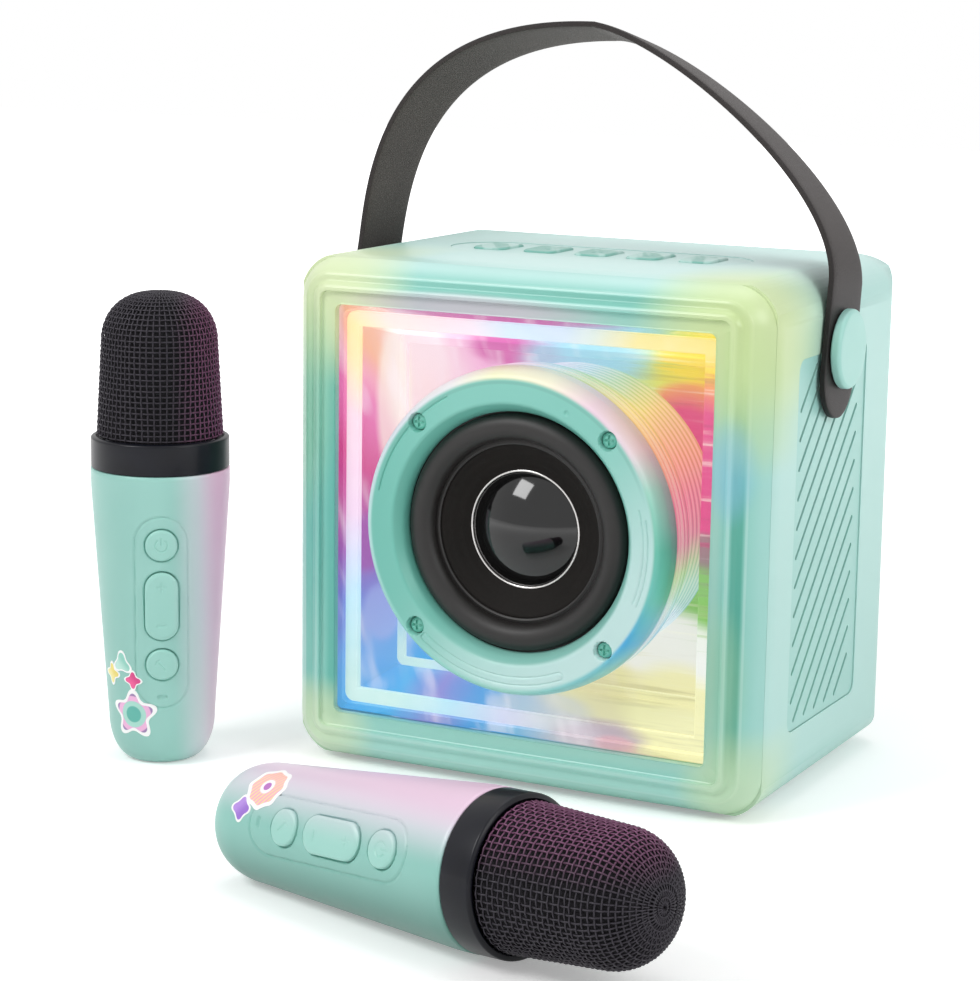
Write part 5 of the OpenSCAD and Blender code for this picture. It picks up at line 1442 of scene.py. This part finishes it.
# the screw heads are darker than the ring: painted shade of their wells
screw_mint = mint_plastic("mint screws", base="7ccab9", deep="6fbfae")
pad_mint = rubber_finish("mint silicone", "7cc4b8", "70b9ad", 0.6)
film = chamber_finish("lit mirror film", 0.82)
strip = light_strip_finish("light strip", 0.85, "front")
# the deep light strip is a painted reflection of the front strip in the mirror
deep = light_strip_finish("deep light strip", 0.82, "deep")
can_look = can_finish("can with light rings")
clear = clear_finish("clear panel")
leather = leather_finish("brown leather")
rubber = rubber_finish("roll rubber", "12100f", "1e1b1a", 0.5)
paper = rubber_finish("cone paper", "0a0806", "15100d", 0.7, 0.8, 0.2)
cap_gloss = gloss_finish("dust cap gloss", "080808", "0f0f10")
bright = metal_finish("bright trim", "b9b6b4", "d8d6d4", 0.18)
steel = metal_finish("plated steel", "a9abb0", "c2c4c8", 0.28)
dark_metal = metal_finish("black basket", "2a2a2c", "3a3a3d", 0.45)
ferrite = rubber_finish("ferrite", "242427", "303034", 0.5, 1.5)
copper = metal_finish("copper wire", "b06a32", "cf8a4c", 0.3)
spider_cloth = cloth_finish("spider cloth", "b58b3c", "cfa85a")
board = board_finish("circuit board")
wrap = wrap_finish("battery wrap")
socket_black = rubber_finish("socket block", "34383d", "42474d", 0.4)
tape = light_strip_finish("led tape", 0.8)
collar_gloss = gloss_finish("navy collar", "05060c", "0c0e19", 0.32, 0.08, 0.22)
foam = foam_finish("black foam")

merged_copy("main_shell", "shell", mint, "cabinet", "mint_shell")
merged_copy("rear_cover", "rear", mint, "cabinet", "mint_shell")
make_bezel(mint_bezel)
make_chamber(film, strip, deep)
make_ring(ring_mint)
make_ring_screws(screw_mint)
make_can(can_look)
make_driver(rubber, paper, cap_gloss, bright)
make_strap(leather)
make_studs(stud_mint)
for side in ("right", "left"):
    merged_copy("grille_" + side, "grille_panel_" + side, mint_grille, "cabinet", "mint_shell", 0.18)
merged_copy("control_strip", "key_strip", mint_strip, "cabinet", "mint_shell", 0.22)
for number, kind in enumerate(("minus", "back", "play", "next", "plus"), 1):
    make_top_key(number, kind, mint_key)

NODE_FINISHES = {
    "window_panel": clear, "mirror_plate": film, "led_strips": tape,
    "basket": dark_metal, "voice_coil": copper, "spider": spider_cloth, "magnet": ferrite,
    "pole_plates": steel, "rear_screws": steel, "key_board": board, "main_board": board,
    "battery_pack": wrap, "socket_block": socket_black, "base_pad": pad_mint, "stud_screws": steel,
}
for mic, matrix in MIC_PLACES.items():
    # each microphone's pink side is a painted reflection of the pink lights, and shade is the strength of
    # its painted shade
    pink = -7.0 if mic == "mic_a" else -161.0
    base, shade, pink_reflection_strength = ("9dd0c6", 0.18, 0.9) if mic == "mic_a" else ("8cc4b9", 0.85, 0.55)
    lacquer = mic_finish(mic + " lacquer", matrix, pink, base, shade, pink_reflection_strength)
    keys = mic_finish(mic + " keys", matrix, pink, "a2d6cb", shade * 0.5, pink_reflection_strength)
    wire = wire_finish(mic + " wire", matrix, pink)
    mic_body(mic, matrix, lacquer)
    mic_keys(mic, matrix, keys)
    mic_grille(mic, matrix, wire, foam)
    mic_collar(mic, matrix, collar_gloss)
    NODE_FINISHES.update({mic + "_tail_cap": lacquer, mic + "_capsule": steel, mic + "_board": board,
                          mic + "_battery": wrap})

STICKER_PRINTS = {
    "bands": "bands", "stripes": "stripes", "yellow": ("f3e79a", "e9d66c"),
    "sea": ("bfe6da", "8fcfc0"), "rose": ("f0609a", "d93f86"), "violet": ("b68fe0", "9a6fd0"),
}
# Name, microphone, angle round it, height, star's points and radii, print
STICKERS = [("fan", "mic_a", -122.0, 17.0, (5, 8.2, 5.4), "bands"),
            ("sun", "mic_a", -150.0, 29.0, (4, 3.9, 2.2), "yellow"),
            ("drop", "mic_a", -134.0, 33.0, (3, 4.2, 2.4), "sea"),
            ("gem", "mic_a", -121.0, 28.0, (4, 3.3, 2.0), "rose"),
            ("disc", "mic_b", -124.0, 21.0, (8, 7.2, 6.6), "stripes"),
            ("clover", "mic_b", -99.0, 15.0, (4, 3.9, 2.8), "violet")]
for name, mic, angle, height, star, ink in STICKERS:
    finish = sticker_finish("sticker " + ink, STICKER_PRINTS[ink])
    sticker("sticker_" + name, mic, MIC_PLACES[mic], angle, height, star_outline(*star), finish)

for name, finish in NODE_FINISHES.items():
    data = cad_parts[name].data
    data.materials.clear()
    data.materials.append(finish)
